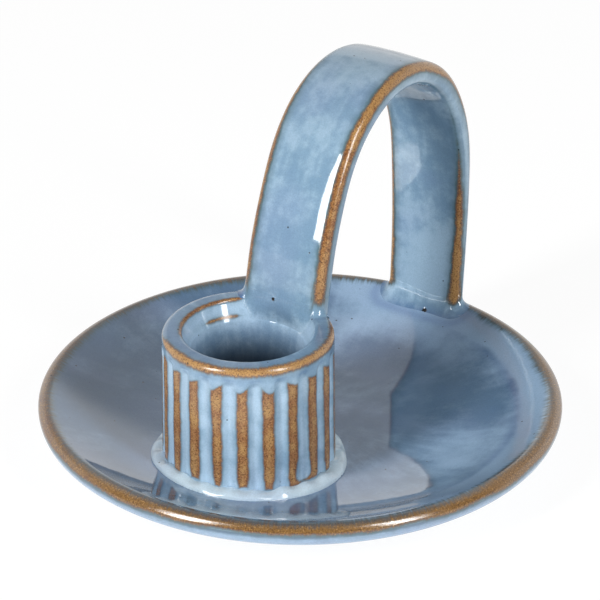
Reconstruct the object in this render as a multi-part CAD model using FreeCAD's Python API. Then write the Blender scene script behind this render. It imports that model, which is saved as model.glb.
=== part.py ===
import FreeCAD, Part
import math
import os

# Glazed stoneware chamberstick: a round dish, a fluted candle cup and a strap bent into a finger loop.
# Millimetres, +Z up. The origin is on the table, under the middle of the dish. The cup stands
# towards -Y, and the strap runs in the plane x = 0 from the cup's rim to the dish's far lip at +Y.

# Foot ring, the bare ring that the dish stands on
foot_ring_radius = 39.0
foot_ring_width = 4.5
foot_ring_height = 2.0

# Dish
dish_radius = 60.0
dish_floor_radius = 24.0
dish_floor_thickness = 4.0
dish_well_depth = 7.7
dish_underside_radius = 44.0
lip_top_radius = 2.2
lip_under_radius = 3.8

# Candle cup
cup_offset = 21.1
cup_height = 33.0
cup_rim_radius = 19.0
cup_foot_radius = 19.4
cup_mouth_radius = 14.7
cup_outer_edge_radius = 1.4
cup_inner_edge_radius = 0.9
rim_fillet_limit_share = 0.45
ledge_radius = 13.2
ledge_depth = 3.8
ledge_drop = 1.0
socket_radius = 11.5
socket_length = 12.0
socket_floor_thickness = 7.5
candle_clearance = 0.5

# Flutes in the cup's wall
flute_count = 21
flute_width = 2.9
flute_depth = 0.7
flute_top_gap = 4.6
first_flute_angle = -51.5

# Coil of clay round the cup's foot. It leans with the dish, whose bowl rises under the cup's front
coil_width = 3.0
coil_height = 2.4
coil_bulge_share = 0.76
coil_tilt = 3.2
coil_depth = 2.0

# Strap of the finger loop
strap_width = 20.7
strap_front_thickness = 6.4
strap_crown_thickness = 6.0
strap_shoulder_thickness = 6.2
strap_rear_thickness = 4.6
strap_edge_radius = 2.0
strap_top_height = 86.0
front_foot_inset = 1.5
rear_foot_inset = 4.0

# Middle line of the strap: shares of the way across from the front foot to the rear foot, and of
# the rise from the cup's rim (front leg) or from the lip (rear leg) up to the crown
front_leg_shares = ((0.0, 0.0), (0.036, 0.256), (0.098, 0.511), (0.185, 0.749), (0.315, 0.917))
crown_across_share = 0.53
rear_leg_shares = ((0.813, 0.908), (0.931, 0.786), (1.0, 0.637), (1.019, 0.475), (1.019, 0.306), (1.0, 0.0))

# Where the strap has its named thicknesses, as shares of the way along it from the front foot
crown_along_share = 0.42
shoulder_along_share = 0.68
rear_leg_along_share = 0.85

# Clay smeared round the strap's two feet
front_luting_spread = 1.4
front_luting_rise = 2.6
front_luting_drop = 3.0
front_luting_overhang = 1.1
rear_luting_spread = 2.8
rear_luting_rise = 4.2
rear_luting_lip_margin = 0.6
luting_top_spread = 0.3

# One overrun serves all cuts, and one tolerance finds an edge by its place
overrun = 5.0
edge_tolerance = 0.001

# Heights and places that follow from the sizes above
floor_height = foot_ring_height + dish_floor_thickness
lip_height = floor_height + dish_well_depth - lip_top_radius
lip_middle_radius = dish_radius - lip_top_radius
rim_height = floor_height + cup_height
socket_floor_height = floor_height + socket_floor_thickness
coil_tilt_rise = (cup_foot_radius + coil_width) * math.tan(math.radians(coil_tilt))
coil_middle_height = floor_height + coil_tilt_rise
cup_middle = FreeCAD.Vector(0, -cup_offset, 0)
strap_front_y = -cup_offset + (cup_rim_radius + cup_mouth_radius) / 2 - front_foot_inset
strap_rear_y = dish_radius - rear_foot_inset
strap_crown_height = strap_top_height - strap_crown_thickness / 2


def at(radius, height):
    """Point of a half section that is turned about the Z axis."""
    return FreeCAD.Vector(radius, 0, height)


def line(start, end):
    return Part.LineSegment(start, end).toShape()


def arc(start, middle, end):
    return Part.Arc(start, middle, end).toShape()


def round_about(centre, radius, degrees):
    """Point of a section's arc, at an angle up from the outward direction."""
    turn = math.radians(degrees)
    return centre + at(radius * math.cos(turn), radius * math.sin(turn))


def turned(edges):
    """Solid turned about the Z axis from a closed half section."""
    face = Part.Face(Part.Wire(edges))
    return face.revolve(at(0, 0), FreeCAD.Vector(0, 0, 1), 360)


def uppermost(shape):
    """The solid of a cut that reaches highest, without the scraps under the rim or the lip."""
    return max(shape.Solids, key=lambda solid: solid.optimalBoundingBox().ZMax)


def ring_edges(solid, radius, height):
    """Round edges of a turned solid at one radius and height."""
    found = []
    for edge in solid.Edges:
        if not isinstance(edge.Curve, Part.Circle):
            continue
        same_radius = abs(edge.Curve.Radius - radius) < edge_tolerance
        same_height = abs(edge.Curve.Center.z - height) < edge_tolerance
        if same_radius and same_height:
            found.append(edge)
    return found


def make_foot_ring():
    """Ring of rectangular section between the table and the dish's underside."""
    inner = Part.makeCylinder(foot_ring_radius - foot_ring_width, foot_ring_height)
    return Part.makeCylinder(foot_ring_radius, foot_ring_height).cut(inner)


def underside_touch(corner, centre):
    """Angle on the lip's lower arc where a line from the underside's corner touches it."""
    reach = corner.sub(centre)
    to_corner = math.degrees(math.atan2(reach.z, reach.x))
    return to_corner + math.degrees(math.acos(lip_under_radius / reach.Length))


def make_dish():
    """Flat middle, a shallow bowl as one hollow arc from it to the lip, and a rounded lip."""
    lip_top = at(lip_middle_radius, lip_height)
    lip_under = at(dish_radius - lip_under_radius, lip_height)
    across = lip_middle_radius - dish_floor_radius
    drop = lip_height - floor_height
    wall_radius = (across ** 2 + drop ** 2 - lip_top_radius ** 2) / (2 * (drop + lip_top_radius))
    wall_middle = at(dish_floor_radius, floor_height + wall_radius)
    wall_turn = math.degrees(math.atan2(lip_height - wall_middle.z, across))
    corner = at(dish_underside_radius, foot_ring_height)
    under_turn = underside_touch(corner, lip_under)
    floor_edge = at(dish_floor_radius, floor_height)
    wall_end = round_about(wall_middle, wall_radius, wall_turn)
    wall_half = round_about(wall_middle, wall_radius, (wall_turn - 90) / 2)
    lip_half = round_about(lip_top, lip_top_radius, (wall_turn + 180) / 2)
    outermost = at(dish_radius, lip_height)
    under_half = round_about(lip_under, lip_under_radius, under_turn / 2)
    under_end = round_about(lip_under, lip_under_radius, under_turn)
    return turned([
        line(at(0, foot_ring_height), at(0, floor_height)),
        line(at(0, floor_height), floor_edge),
        arc(floor_edge, wall_half, wall_end),
        arc(wall_end, lip_half, outermost),
        arc(outermost, under_half, under_end),
        line(under_end, corner),
        line(corner, at(0, foot_ring_height)),
    ])


def cup_wall_radius(height):
    """Radius of the cup's outer wall, which narrows a little from its foot to its rim."""
    up = (height - floor_height) / cup_height
    return cup_foot_radius + (cup_rim_radius - cup_foot_radius) * up


def make_flute_cutters():
    """Round-nosed cutters, laid along the cup's sloping wall from the coil up to the plain rim band."""
    nose_radius = ((flute_width / 2) ** 2 + flute_depth ** 2) / (2 * flute_depth)
    foot_height = coil_middle_height + coil_tilt_rise + coil_height
    top_height = rim_height - flute_top_gap
    stand_off = nose_radius - flute_depth
    foot = at(cup_wall_radius(foot_height) + stand_off, foot_height)
    top = at(cup_wall_radius(top_height) + stand_off, top_height)
    shaft = Part.makeCylinder(nose_radius, top.sub(foot).Length, foot, top.sub(foot))
    cutter = shaft.fuse(Part.makeSphere(nose_radius, top))
    cutters = []
    for number in range(flute_count):
        angle = first_flute_angle + number * 360 / flute_count
        cutters.append(cutter.rotated(at(0, 0), FreeCAD.Vector(0, 0, 1), angle))
    return cutters


def make_cup_blank():
    """Thick-walled cup with a funnel mouth, a ledge and a straight blind socket, before its flutes.

    The rim's two rounded edges are limited by the rim's width.
    """
    socket_top = socket_floor_height + socket_length
    ledge_height = rim_height - ledge_depth
    fillet_limit = (cup_rim_radius - cup_mouth_radius) * rim_fillet_limit_share
    outer_edge_radius = min(cup_outer_edge_radius, fillet_limit)
    inner_edge_radius = min(cup_inner_edge_radius, fillet_limit)
    corners = [
        at(0, floor_height),
        at(cup_foot_radius, floor_height),
        at(cup_rim_radius, rim_height),
        at(cup_mouth_radius, rim_height),
        at(ledge_radius, ledge_height),
        at(ledge_radius - ledge_drop / 2, ledge_height - ledge_drop),
        at(socket_radius, socket_top),
        at(socket_radius, socket_floor_height),
        at(0, socket_floor_height),
    ]
    edges = [line(start, end) for start, end in zip(corners, corners[1:] + corners[:1])]
    cup = turned(edges)
    cup = cup.makeFillet(outer_edge_radius, ring_edges(cup, cup_rim_radius, rim_height))
    return cup.makeFillet(inner_edge_radius, ring_edges(cup, cup_mouth_radius, rim_height))


def make_candle_cup(dish):
    """Fluted cup, set in its place on the dish and cut to the dish's floor."""
    return make_cup_blank().cut(make_flute_cutters()).translated(cup_middle).cut(dish)


def make_cup_foot_coil(dish, cup):
    """Half-round coil in the corner between the dish and the cup's wall, cut to both."""
    wall = at(cup_foot_radius, 0)
    bulge = wall + at(coil_width * coil_bulge_share, coil_height * coil_bulge_share)
    inner_radius = cup_rim_radius - coil_depth
    inner_low = at(inner_radius, -coil_depth)
    inner_top = at(inner_radius, coil_height)
    outer_low = wall + at(coil_width, -coil_depth)
    outer_foot = wall + at(coil_width, 0)
    coil = turned([
        line(inner_low, inner_top),
        line(inner_top, wall + at(0, coil_height)),
        arc(wall + at(0, coil_height), bulge, outer_foot),
        line(outer_foot, outer_low),
        line(outer_low, inner_low),
    ])
    coil = coil.rotated(at(0, 0), FreeCAD.Vector(1, 0, 0), -coil_tilt)
    return uppermost(coil.translated(cup_middle + at(0, coil_middle_height)).cut([dish, cup]))


def strap_middle_points():
    """Points of the strap's middle line in the plane x = 0, from the cup's rim to the dish's lip."""
    span = strap_rear_y - strap_front_y
    points = []
    for across, up in front_leg_shares:
        height = rim_height + up * (strap_crown_height - rim_height)
        points.append(FreeCAD.Vector(0, strap_front_y + across * span, height))
    points.append(FreeCAD.Vector(0, strap_front_y + crown_across_share * span, strap_crown_height))
    for across, up in rear_leg_shares:
        height = lip_height + up * (strap_crown_height - lip_height)
        points.append(FreeCAD.Vector(0, strap_front_y + across * span, height))
    return points


def strap_thickness(along):
    """Thickness at a share of the way along the strap, which is thinnest where it was pulled most."""
    stations = (
        (0.0, strap_front_thickness),
        (crown_along_share, strap_crown_thickness),
        (shoulder_along_share, strap_shoulder_thickness),
        (rear_leg_along_share, strap_rear_thickness),
        (1.0, strap_rear_thickness),
    )
    for (start, start_thickness), (end, end_thickness) in zip(stations, stations[1:]):
        if along <= end:
            part_way = (along - start) / (end - start)
            return start_thickness + (end_thickness - start_thickness) * part_way
    return strap_rear_thickness


def strap_outlines():
    """Inner and outer edge of the strap, seen from the side, each run on past both feet."""
    middle = Part.BSplineCurve()
    middle.interpolate(strap_middle_points())
    first, last = middle.FirstParameter, middle.LastParameter
    outer, inner = [], []
    steps = len(front_leg_shares) + len(rear_leg_shares)
    for step in range(steps + 1):
        along = step / steps
        parameter = first + along * (last - first)
        heading = FreeCAD.Vector(*middle.tangent(parameter)[0])
        outward = FreeCAD.Vector(0, -heading.z, heading.y)
        offset = outward * (strap_thickness(along) / 2)
        point = middle.value(parameter)
        outer.append(point + offset)
        inner.append(point - offset)
    return outer, inner, middle


def run_past_ends(points, middle):
    """Edges through the points of one outline, with a straight run past each foot."""
    start_heading = FreeCAD.Vector(*middle.tangent(middle.FirstParameter)[0])
    end_heading = FreeCAD.Vector(*middle.tangent(middle.LastParameter)[0])
    curve = Part.BSplineCurve()
    curve.interpolate(Points=points, InitialTangent=start_heading, FinalTangent=end_heading)
    before = points[0] - start_heading * overrun
    after = points[-1] + end_heading * overrun
    return [line(before, points[0]), curve.toShape(), line(points[-1], after)], before, after


def make_strap_blank():
    """Strap with rounded long edges, before its feet are cut to the cup's rim and the dish."""
    outer, inner, middle = strap_outlines()
    outer_edges, outer_start, outer_end = run_past_ends(outer, middle)
    inner_edges, inner_start, inner_end = run_past_ends(inner, middle)
    rim = outer_edges + [line(outer_end, inner_end)] + inner_edges + [line(inner_start, outer_start)]
    side = Part.Face(Part.Wire(Part.__sortEdges__(rim)))
    side = side.translated(FreeCAD.Vector(-strap_width / 2, 0, 0))
    blank = side.extrude(FreeCAD.Vector(strap_width, 0, 0))
    return blank.makeFillet(strap_edge_radius, strap_long_edges(blank))


def strap_long_edges(blank):
    """Edges of the strap's four corners: those that lie wholly in one of its two side planes."""
    found = []
    for edge in blank.Edges:
        box = edge.BoundBox
        in_side_plane = box.XLength < strap_edge_radius / 2
        along_strap = edge.Length > strap_front_thickness + strap_rear_thickness
        if in_side_plane and along_strap:
            found.append(edge)
    return found


def make_handle_strap(dish):
    """Strap cut level on the cup's rim, and cut to the dish's wall and lip."""
    below_rim = Part.makeCylinder(cup_foot_radius + overrun, rim_height, cup_middle)
    return uppermost(make_strap_blank().cut([below_rim, dish]))


def foot_outline(middle_y, thickness, spread, height):
    """Outline round one foot of the strap, grown outwards by the spread of the clay."""
    corner_radius = strap_edge_radius + spread
    half_width = strap_width / 2 + spread
    half_depth = thickness / 2 + spread
    middle = FreeCAD.Vector(0, middle_y, height)
    edges = []
    for quarter, (right, front) in enumerate(((1, 1), (-1, 1), (-1, -1), (1, -1))):
        centre = middle + FreeCAD.Vector(
            right * (half_width - corner_radius), front * (half_depth - corner_radius), 0)
        turns = [math.radians(90 * quarter + step) for step in (0, 45, 90)]
        corner = [
            centre + FreeCAD.Vector(corner_radius * math.cos(turn), corner_radius * math.sin(turn), 0)
            for turn in turns
        ]
        if edges:
            edges.append(line(edges[-1].Vertexes[-1].Point, corner[0]))
        edges.append(arc(*corner))
    edges.append(line(edges[-1].Vertexes[-1].Point, edges[0].Vertexes[0].Point))
    return Part.Wire(edges)


def front_leg_y(height):
    """Place of the strap's front leg above the rim, where it still leans in a straight line."""
    across, up = front_leg_shares[1]
    lean = across * (strap_rear_y - strap_front_y) / (up * (strap_crown_height - rim_height))
    return strap_front_y + lean * (height - rim_height)


def make_rim_band():
    """Ring over the cup's rim that the front luting is cut from: it leaves the candle its way out."""
    ledge_height = rim_height - ledge_depth
    low_height = rim_height - front_luting_drop
    high_height = rim_height + front_luting_rise
    inner_radius = socket_radius + candle_clearance
    outer_radius = cup_rim_radius + front_luting_overhang
    corners = [
        at(ledge_radius, ledge_height),
        at(inner_radius, rim_height),
        at(inner_radius, high_height),
        at(outer_radius, high_height),
        at(outer_radius, rim_height),
        at(cup_wall_radius(low_height), low_height),
    ]
    edges = [line(start, end) for start, end in zip(corners, corners[1:] + corners[:1])]
    return turned(edges).translated(cup_middle)


def make_handle_cup_luting(strap, cup):
    """Clay round the strap's front foot: over the rim, a little way down the wall and the funnel."""
    low_height = rim_height - ledge_depth - ledge_drop
    high_height = rim_height + front_luting_rise
    thickness = strap_front_thickness
    block = Part.makeLoft([
        foot_outline(strap_front_y, thickness, front_luting_spread, low_height),
        foot_outline(strap_front_y, thickness, front_luting_spread, rim_height),
        foot_outline(front_leg_y(high_height), thickness, luting_top_spread, high_height),
    ], True, True)
    return uppermost(block.common(make_rim_band()).cut([cup, strap]))


def make_handle_dish_luting(strap, dish):
    """Clay round the strap's rear foot, on the dish's wall and lip, a little short of the lip's edge."""
    high_height = lip_height + rear_luting_rise
    thickness = strap_rear_thickness
    block = Part.makeLoft([
        foot_outline(strap_rear_y, thickness, rear_luting_spread, floor_height),
        foot_outline(strap_rear_y, thickness, luting_top_spread, high_height),
    ], True, True)
    inside_lip = Part.makeCylinder(dish_radius - rear_luting_lip_margin, high_height + overrun)
    return uppermost(block.common(inside_lip).cut([dish, strap]))


if __name__ == "__main__":
    os.makedirs("parts", exist_ok=True)
    dish = make_dish()
    cup = make_candle_cup(dish)
    strap = make_handle_strap(dish)
    nodes = {
        "foot_ring": make_foot_ring(),
        "dish": dish,
        "candle_cup": cup,
        "cup_foot_coil": make_cup_foot_coil(dish, cup),
        "handle_strap": strap,
        "handle_cup_luting": make_handle_cup_luting(strap, cup),
        "handle_dish_luting": make_handle_dish_luting(strap, dish),
    }
    for name, shape in nodes.items():
        print(name, shape.isValid(), len(shape.Solids), round(shape.Volume, 1), shape.optimalBoundingBox())
        shape.exportStep("parts/" + name + ".step")
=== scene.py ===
"""Glazed stoneware chamberstick: a dish, a fluted candle cup and a strap bent into a finger loop.

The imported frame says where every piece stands. The surfaces made here stand for its solids and carry what
the potter's hands and the glaze add to them: flutes with wavy edges, a bead of glaze round the cup's foot,
clay smeared at both ends of the strap, and edges where the thin glaze breaks from blue to brown.
"""

import logging
import math
from collections.abc import Callable
from dataclasses import dataclass, field
from enum import Enum
from functools import partial

import bpy
import numpy as np
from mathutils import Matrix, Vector


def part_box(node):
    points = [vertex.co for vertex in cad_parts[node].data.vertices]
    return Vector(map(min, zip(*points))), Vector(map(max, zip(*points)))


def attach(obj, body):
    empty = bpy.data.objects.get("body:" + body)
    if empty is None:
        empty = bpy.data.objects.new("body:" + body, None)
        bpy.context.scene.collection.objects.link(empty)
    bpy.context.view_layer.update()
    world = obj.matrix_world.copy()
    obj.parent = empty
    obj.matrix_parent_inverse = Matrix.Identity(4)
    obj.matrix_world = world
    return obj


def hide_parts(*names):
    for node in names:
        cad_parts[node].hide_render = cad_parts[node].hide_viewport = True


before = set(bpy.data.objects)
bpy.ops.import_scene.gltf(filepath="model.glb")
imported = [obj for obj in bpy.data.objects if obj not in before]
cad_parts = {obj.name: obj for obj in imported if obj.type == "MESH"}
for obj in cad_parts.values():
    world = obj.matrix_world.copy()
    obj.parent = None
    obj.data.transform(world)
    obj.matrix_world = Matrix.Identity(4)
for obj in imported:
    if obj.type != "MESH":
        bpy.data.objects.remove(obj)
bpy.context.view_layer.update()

LOG = logging.getLogger("chamberstick")
BODY = "root"
MM = 0.001
FULL_TURN = 2 * math.pi

Socket = bpy.types.NodeSocket
AddNode = Callable[..., Socket | None]
Fields = dict[str, np.ndarray]
Numbers = np.ndarray | float
Pinhole = tuple[float, float, float, float]
Span = tuple[float, float, float]
Window = tuple[float, float, float]
Ease = tuple[float, float]

# Settings of a node that mixes colours, and of one that eases into and out of its range
COLOURS = {"data_type": "RGBA", "output": 2}
EASED = {"interpolation_type": "SMOOTHSTEP"}


class Edge(Enum):
    """How the first and last rows of a grid of points are finished."""

    JOINED = "the last row meets the first, as round a ring"
    POINT = "each end row is one point on the axis"
    CAPPED = "each end row is closed by a flat fan"


def linear(sheet_colour: str) -> tuple[float, float, float, float]:
    """Turns an sRGB hex colour into linear light.

    Args:
        sheet_colour: colour as written on a colour sheet, such as "#8fa9c6".

    Returns:
        Red, green, blue and an alpha of 1.
    """
    parts = np.array([int(sheet_colour[i:i + 2], 16) for i in (1, 3, 5)]) / 255.0
    low = parts / 12.92
    high = ((parts + 0.055) / 1.055) ** 2.4
    return (*np.where(parts <= 0.04045, low, high).tolist(), 1.0)


def smooth_step(value: np.ndarray) -> np.ndarray:
    """Eases 0 to 1 as three times the square less twice the cube of the clipped value."""
    held = np.clip(value, 0.0, 1.0)
    return held * held * (3.0 - 2.0 * held)


def eased(value: np.ndarray, ease: Ease) -> np.ndarray:
    """Eases 0 to 1 over a length, which starts by a lead before the value is 0."""
    lead, length = ease
    return smooth_step((value + lead) / length)


def bell(value: np.ndarray) -> np.ndarray:
    """Bell curve that is 1 at 0: e to the minus square of the value."""
    return np.exp(-(value ** 2))


def turn_window(turn: np.ndarray, start: float, end: float, soft: float) -> np.ndarray:
    """Weight of 1 between two angles and 0 outside them, eased over a soft margin.

    Args:
        turn: angles in degrees.
        start: first angle in degrees.
        end: last angle in degrees, larger than start.
        soft: width of each eased margin in degrees.

    Returns:
        Weights from 0 to 1, alike in shape to turn.
    """
    middle = (start + end) / 2.0
    away = np.abs((turn - middle + 180.0) % 360.0 - 180.0)
    return smooth_step(((end - start) / 2.0 - away) / soft + 0.5)


def wander(turn: np.ndarray, seed: int, waves: int, size: float, first_wave: int = 1) -> np.ndarray:
    """Smooth unevenness round a full turn: a sum of cosines with seeded sizes and phases.

    Args:
        turn: angles in radians.
        seed: seed of the random draws.
        waves: how many cosines are added.
        size: root mean square of the sum.
        first_wave: cycles per turn of the slowest cosine.

    Returns:
        The sum at each angle.
    """
    draw = np.random.default_rng(seed)
    cycles = np.arange(first_wave, first_wave + waves)
    sizes = draw.normal(size=waves)
    phases = draw.uniform(0.0, FULL_TURN, waves)
    sizes *= size * math.sqrt(2.0) / np.linalg.norm(sizes)
    return (sizes * np.cos(np.multiply.outer(turn, cycles) + phases)).sum(axis=-1)


def arc_points(
    centre: tuple[float, float], radius: float, start: float, end: float, count: int
) -> np.ndarray:
    """Points of an arc in a half section: centre plus radius times cosine and sine of the angle.

    Args:
        centre: distance from the axis and height of the arc's centre.
        radius: radius of the arc.
        start: first angle in degrees, up from the outward direction.
        end: last angle in degrees.
        count: number of points.

    Returns:
        Array of count rows, each a distance from the axis and a height.
    """
    turn = np.radians(np.linspace(start, end, count))
    return np.array(centre) + radius * np.stack([np.cos(turn), np.sin(turn)], axis=-1)


def run_points(start: tuple[float, float], end: tuple[float, float], count: int) -> np.ndarray:
    """Points of a straight run in a half section, with both ends among its count."""
    return np.linspace(np.array(start), np.array(end), count)


def chain(*parts: np.ndarray) -> np.ndarray:
    """Joins the parts of a half section, without the first point of each part that repeats the last."""
    return np.concatenate([parts[0], *[part[1:] for part in parts[1:]]])


def lengths_along(points: np.ndarray) -> np.ndarray:
    """Distance of each point along a line of points: the running sum of the steps between them."""
    steps = np.linalg.norm(np.diff(points, axis=0), axis=1)
    return np.concatenate([[0.0], np.cumsum(steps)])


def natural_spline(knots: np.ndarray, values: np.ndarray, at: np.ndarray) -> np.ndarray:
    """Cubic spline with free ends: its second derivatives solve the usual three-term equations.

    Args:
        knots: rising parameters of the given points.
        values: given points, one row each.
        at: parameters to read the spline at; past the ends it runs on straight.

    Returns:
        One row for each parameter in at.
    """
    gaps = np.diff(knots)
    slopes = np.diff(values, axis=0) / gaps[:, None]
    terms = np.eye(len(knots))
    inner = np.arange(1, len(knots) - 1)
    terms[inner, inner - 1] = gaps[:-1]
    terms[inner, inner] = 2.0 * (gaps[:-1] + gaps[1:])
    terms[inner, inner + 1] = gaps[1:]
    known = np.zeros_like(values)
    known[1:-1] = 6.0 * np.diff(slopes, axis=0)
    bends = np.linalg.solve(terms, known)
    held = np.clip(at, knots[0], knots[-1])
    span = np.clip(np.searchsorted(knots, held, side="right") - 1, 0, len(gaps) - 1)
    gap = gaps[span][:, None]
    before = (held - knots[span])[:, None]
    after = gap - before
    curve = (bends[span] * after ** 3 + bends[span + 1] * before ** 3) / (6.0 * gap)
    curve += (values[span] / gap - bends[span] * gap / 6.0) * after
    curve += (values[span + 1] / gap - bends[span + 1] * gap / 6.0) * before
    start_slope = slopes[0] - gaps[0] * bends[1] / 6.0
    end_slope = slopes[-1] + gaps[-1] * bends[-2] / 6.0
    curve += np.minimum(at - knots[0], 0.0)[:, None] * start_slope
    curve += np.maximum(at - knots[-1], 0.0)[:, None] * end_slope
    return curve


def as_vectors(*parts: Numbers) -> np.ndarray:
    """Stacks numbers as the parts of one vector for each point, after spreading them to one shape."""
    return np.stack(np.broadcast_arrays(*parts), axis=-1)


def turned(distance: Numbers, height: np.ndarray, turn: np.ndarray, middle_y: float = 0.0) -> np.ndarray:
    """Points round an upright axis in the plane x = 0.

    Args:
        distance: distance from the axis.
        height: height over the table.
        turn: angle round the axis in radians, one for each column.
        middle_y: where the axis stands.

    Returns:
        Rows by columns by three.
    """
    return as_vectors(distance * np.cos(turn), middle_y + distance * np.sin(turn), height)


def with_end_means(values: np.ndarray, numbers: np.ndarray) -> np.ndarray:
    """Adds the mean of the first row and the mean of the last row behind a grid's values."""
    ends = np.stack([values[numbers[0]].mean(axis=0), values[numbers[-1]].mean(axis=0)])
    return np.concatenate([values, ends])


def skin(name: str, grid: np.ndarray, ends: Edge, fields: Fields) -> bpy.types.Object:
    """Makes a closed piece from a grid of points whose columns run round it.

    Each cell of the grid is one face, the last column meets the first, and the end rows are finished as told.
    The faces are turned about where the volume that they enclose comes out negative.

    Args:
        name: name of the piece and its mesh.
        grid: points in metres, rows by columns by three.
        ends: how the first and last rows are finished.
        fields: values to keep at each point, rows by columns, or by three more for a vector.

    Returns:
        The new object, at the origin, linked to the scene.
    """
    rows, columns = grid.shape[:2]
    points = grid.reshape(-1, 3)
    kept = {key: value.reshape(rows * columns, -1) for key, value in fields.items()}
    numbers = np.arange(rows * columns).reshape(rows, columns)
    if ends is Edge.JOINED:
        numbers = np.concatenate([numbers, numbers[:1]])
    beside = np.roll(numbers, -1, axis=1)
    faces = np.stack([numbers[:-1], beside[:-1], beside[1:], numbers[1:]], axis=-1).reshape(-1, 4)
    fans = np.zeros((0, 3), int)
    if ends is not Edge.JOINED:
        first, last = len(points), len(points) + 1
        kept = {key: with_end_means(value, numbers) for key, value in kept.items()}
        points = with_end_means(points, numbers)
        start_fan = np.stack([np.full(columns, first), beside[0], numbers[0]], axis=-1)
        end_fan = np.stack([np.full(columns, last), numbers[-1], beside[-1]], axis=-1)
        fans = np.concatenate([start_fan, end_fan])
    if ends is Edge.POINT:
        faces = faces[columns:-columns]
        start_fan = np.stack([np.full(columns, first), beside[1], numbers[1]], axis=-1)
        end_fan = np.stack([np.full(columns, last), numbers[-2], beside[-2]], axis=-1)
        fans = np.concatenate([start_fan, end_fan])
        used = slice(columns, len(points) - 2 - columns)
        order = np.concatenate([np.arange(len(points))[used], [first, last]])
        renumber = np.zeros(len(points), int)
        renumber[order] = np.arange(len(order))
        points = points[order]
        kept = {key: value[order] for key, value in kept.items()}
        faces, fans = renumber[faces], renumber[fans]
    triangles = np.concatenate([faces[:, :3], faces[:, [0, 2, 3]], fans])
    corners = points[triangles]
    enclosed = np.einsum("ij,ij->i", corners[:, 0], np.cross(corners[:, 1], corners[:, 2])).sum()
    if enclosed < 0.0:
        faces, fans = faces[:, ::-1], fans[:, ::-1]
    mesh = bpy.data.meshes.new(name)
    mesh.from_pydata(points.tolist(), [], faces.tolist() + fans.tolist())
    mesh.polygons.foreach_set("use_smooth", np.ones(len(mesh.polygons), bool))
    for key, value in kept.items():
        vector = value.shape[1] == 3
        attribute = mesh.attributes.new(key, "FLOAT_VECTOR" if vector else "FLOAT", "POINT")
        attribute.data.foreach_set("vector" if vector else "value", value.astype(np.float32).ravel())
    mesh.update()
    piece = bpy.data.objects.new(name, mesh)
    bpy.context.collection.objects.link(piece)
    return piece


def settle(piece: bpy.types.Object, node: str, material: bpy.types.Material) -> None:
    """Dresses a finished piece, rides it on the body and lets it stand for its node.

    Args:
        piece: the finished piece.
        node: the frame's node that the piece stands for.
        material: the finish.
    """
    piece.data.materials.append(material)
    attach(piece, BODY)
    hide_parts(node)
    LOG.info("%s stands for %s, %d faces", piece.name, node, len(piece.data.polygons))


def add_node(
    tree: bpy.types.NodeTree, kind: str, inputs: dict[int | str, object] | None = None,
    output: int | str = 0, **settings: object,
) -> Socket | None:
    """Adds one shader node.

    Args:
        tree: the node tree.
        kind: the node's type, without ShaderNode before it.
        inputs: what goes into its sockets, by name or number: a value, or another node's output.
        output: which of its outputs is wanted, by name or number.
        settings: the node's own settings.

    Returns:
        The wanted output, or None where the node is a tree's last one and has no output.
    """
    node = tree.nodes.new("ShaderNode" + kind)
    for name, value in settings.items():
        setattr(node, name, value)
    for key, value in (inputs or {}).items():
        if isinstance(value, Socket):
            tree.links.new(value, node.inputs[key])
        else:
            node.inputs[key].default_value = value
    return node.outputs[output] if node.outputs else None


def over(start: float, end: float, most: float) -> dict[int, float]:
    """Inputs of a range node that gives 0 at the start of a span and the most at its end."""
    return {1: start, 2: end, 4: most}


def empty_tree(owner: bpy.types.Material | bpy.types.World) -> AddNode:
    """Clears the nodes of a material or a world.

    Args:
        owner: the material or world.

    Returns:
        The function that adds a node there.
    """
    owner.use_nodes = True
    owner.node_tree.nodes.clear()
    return partial(add_node, owner.node_tree)


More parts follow.
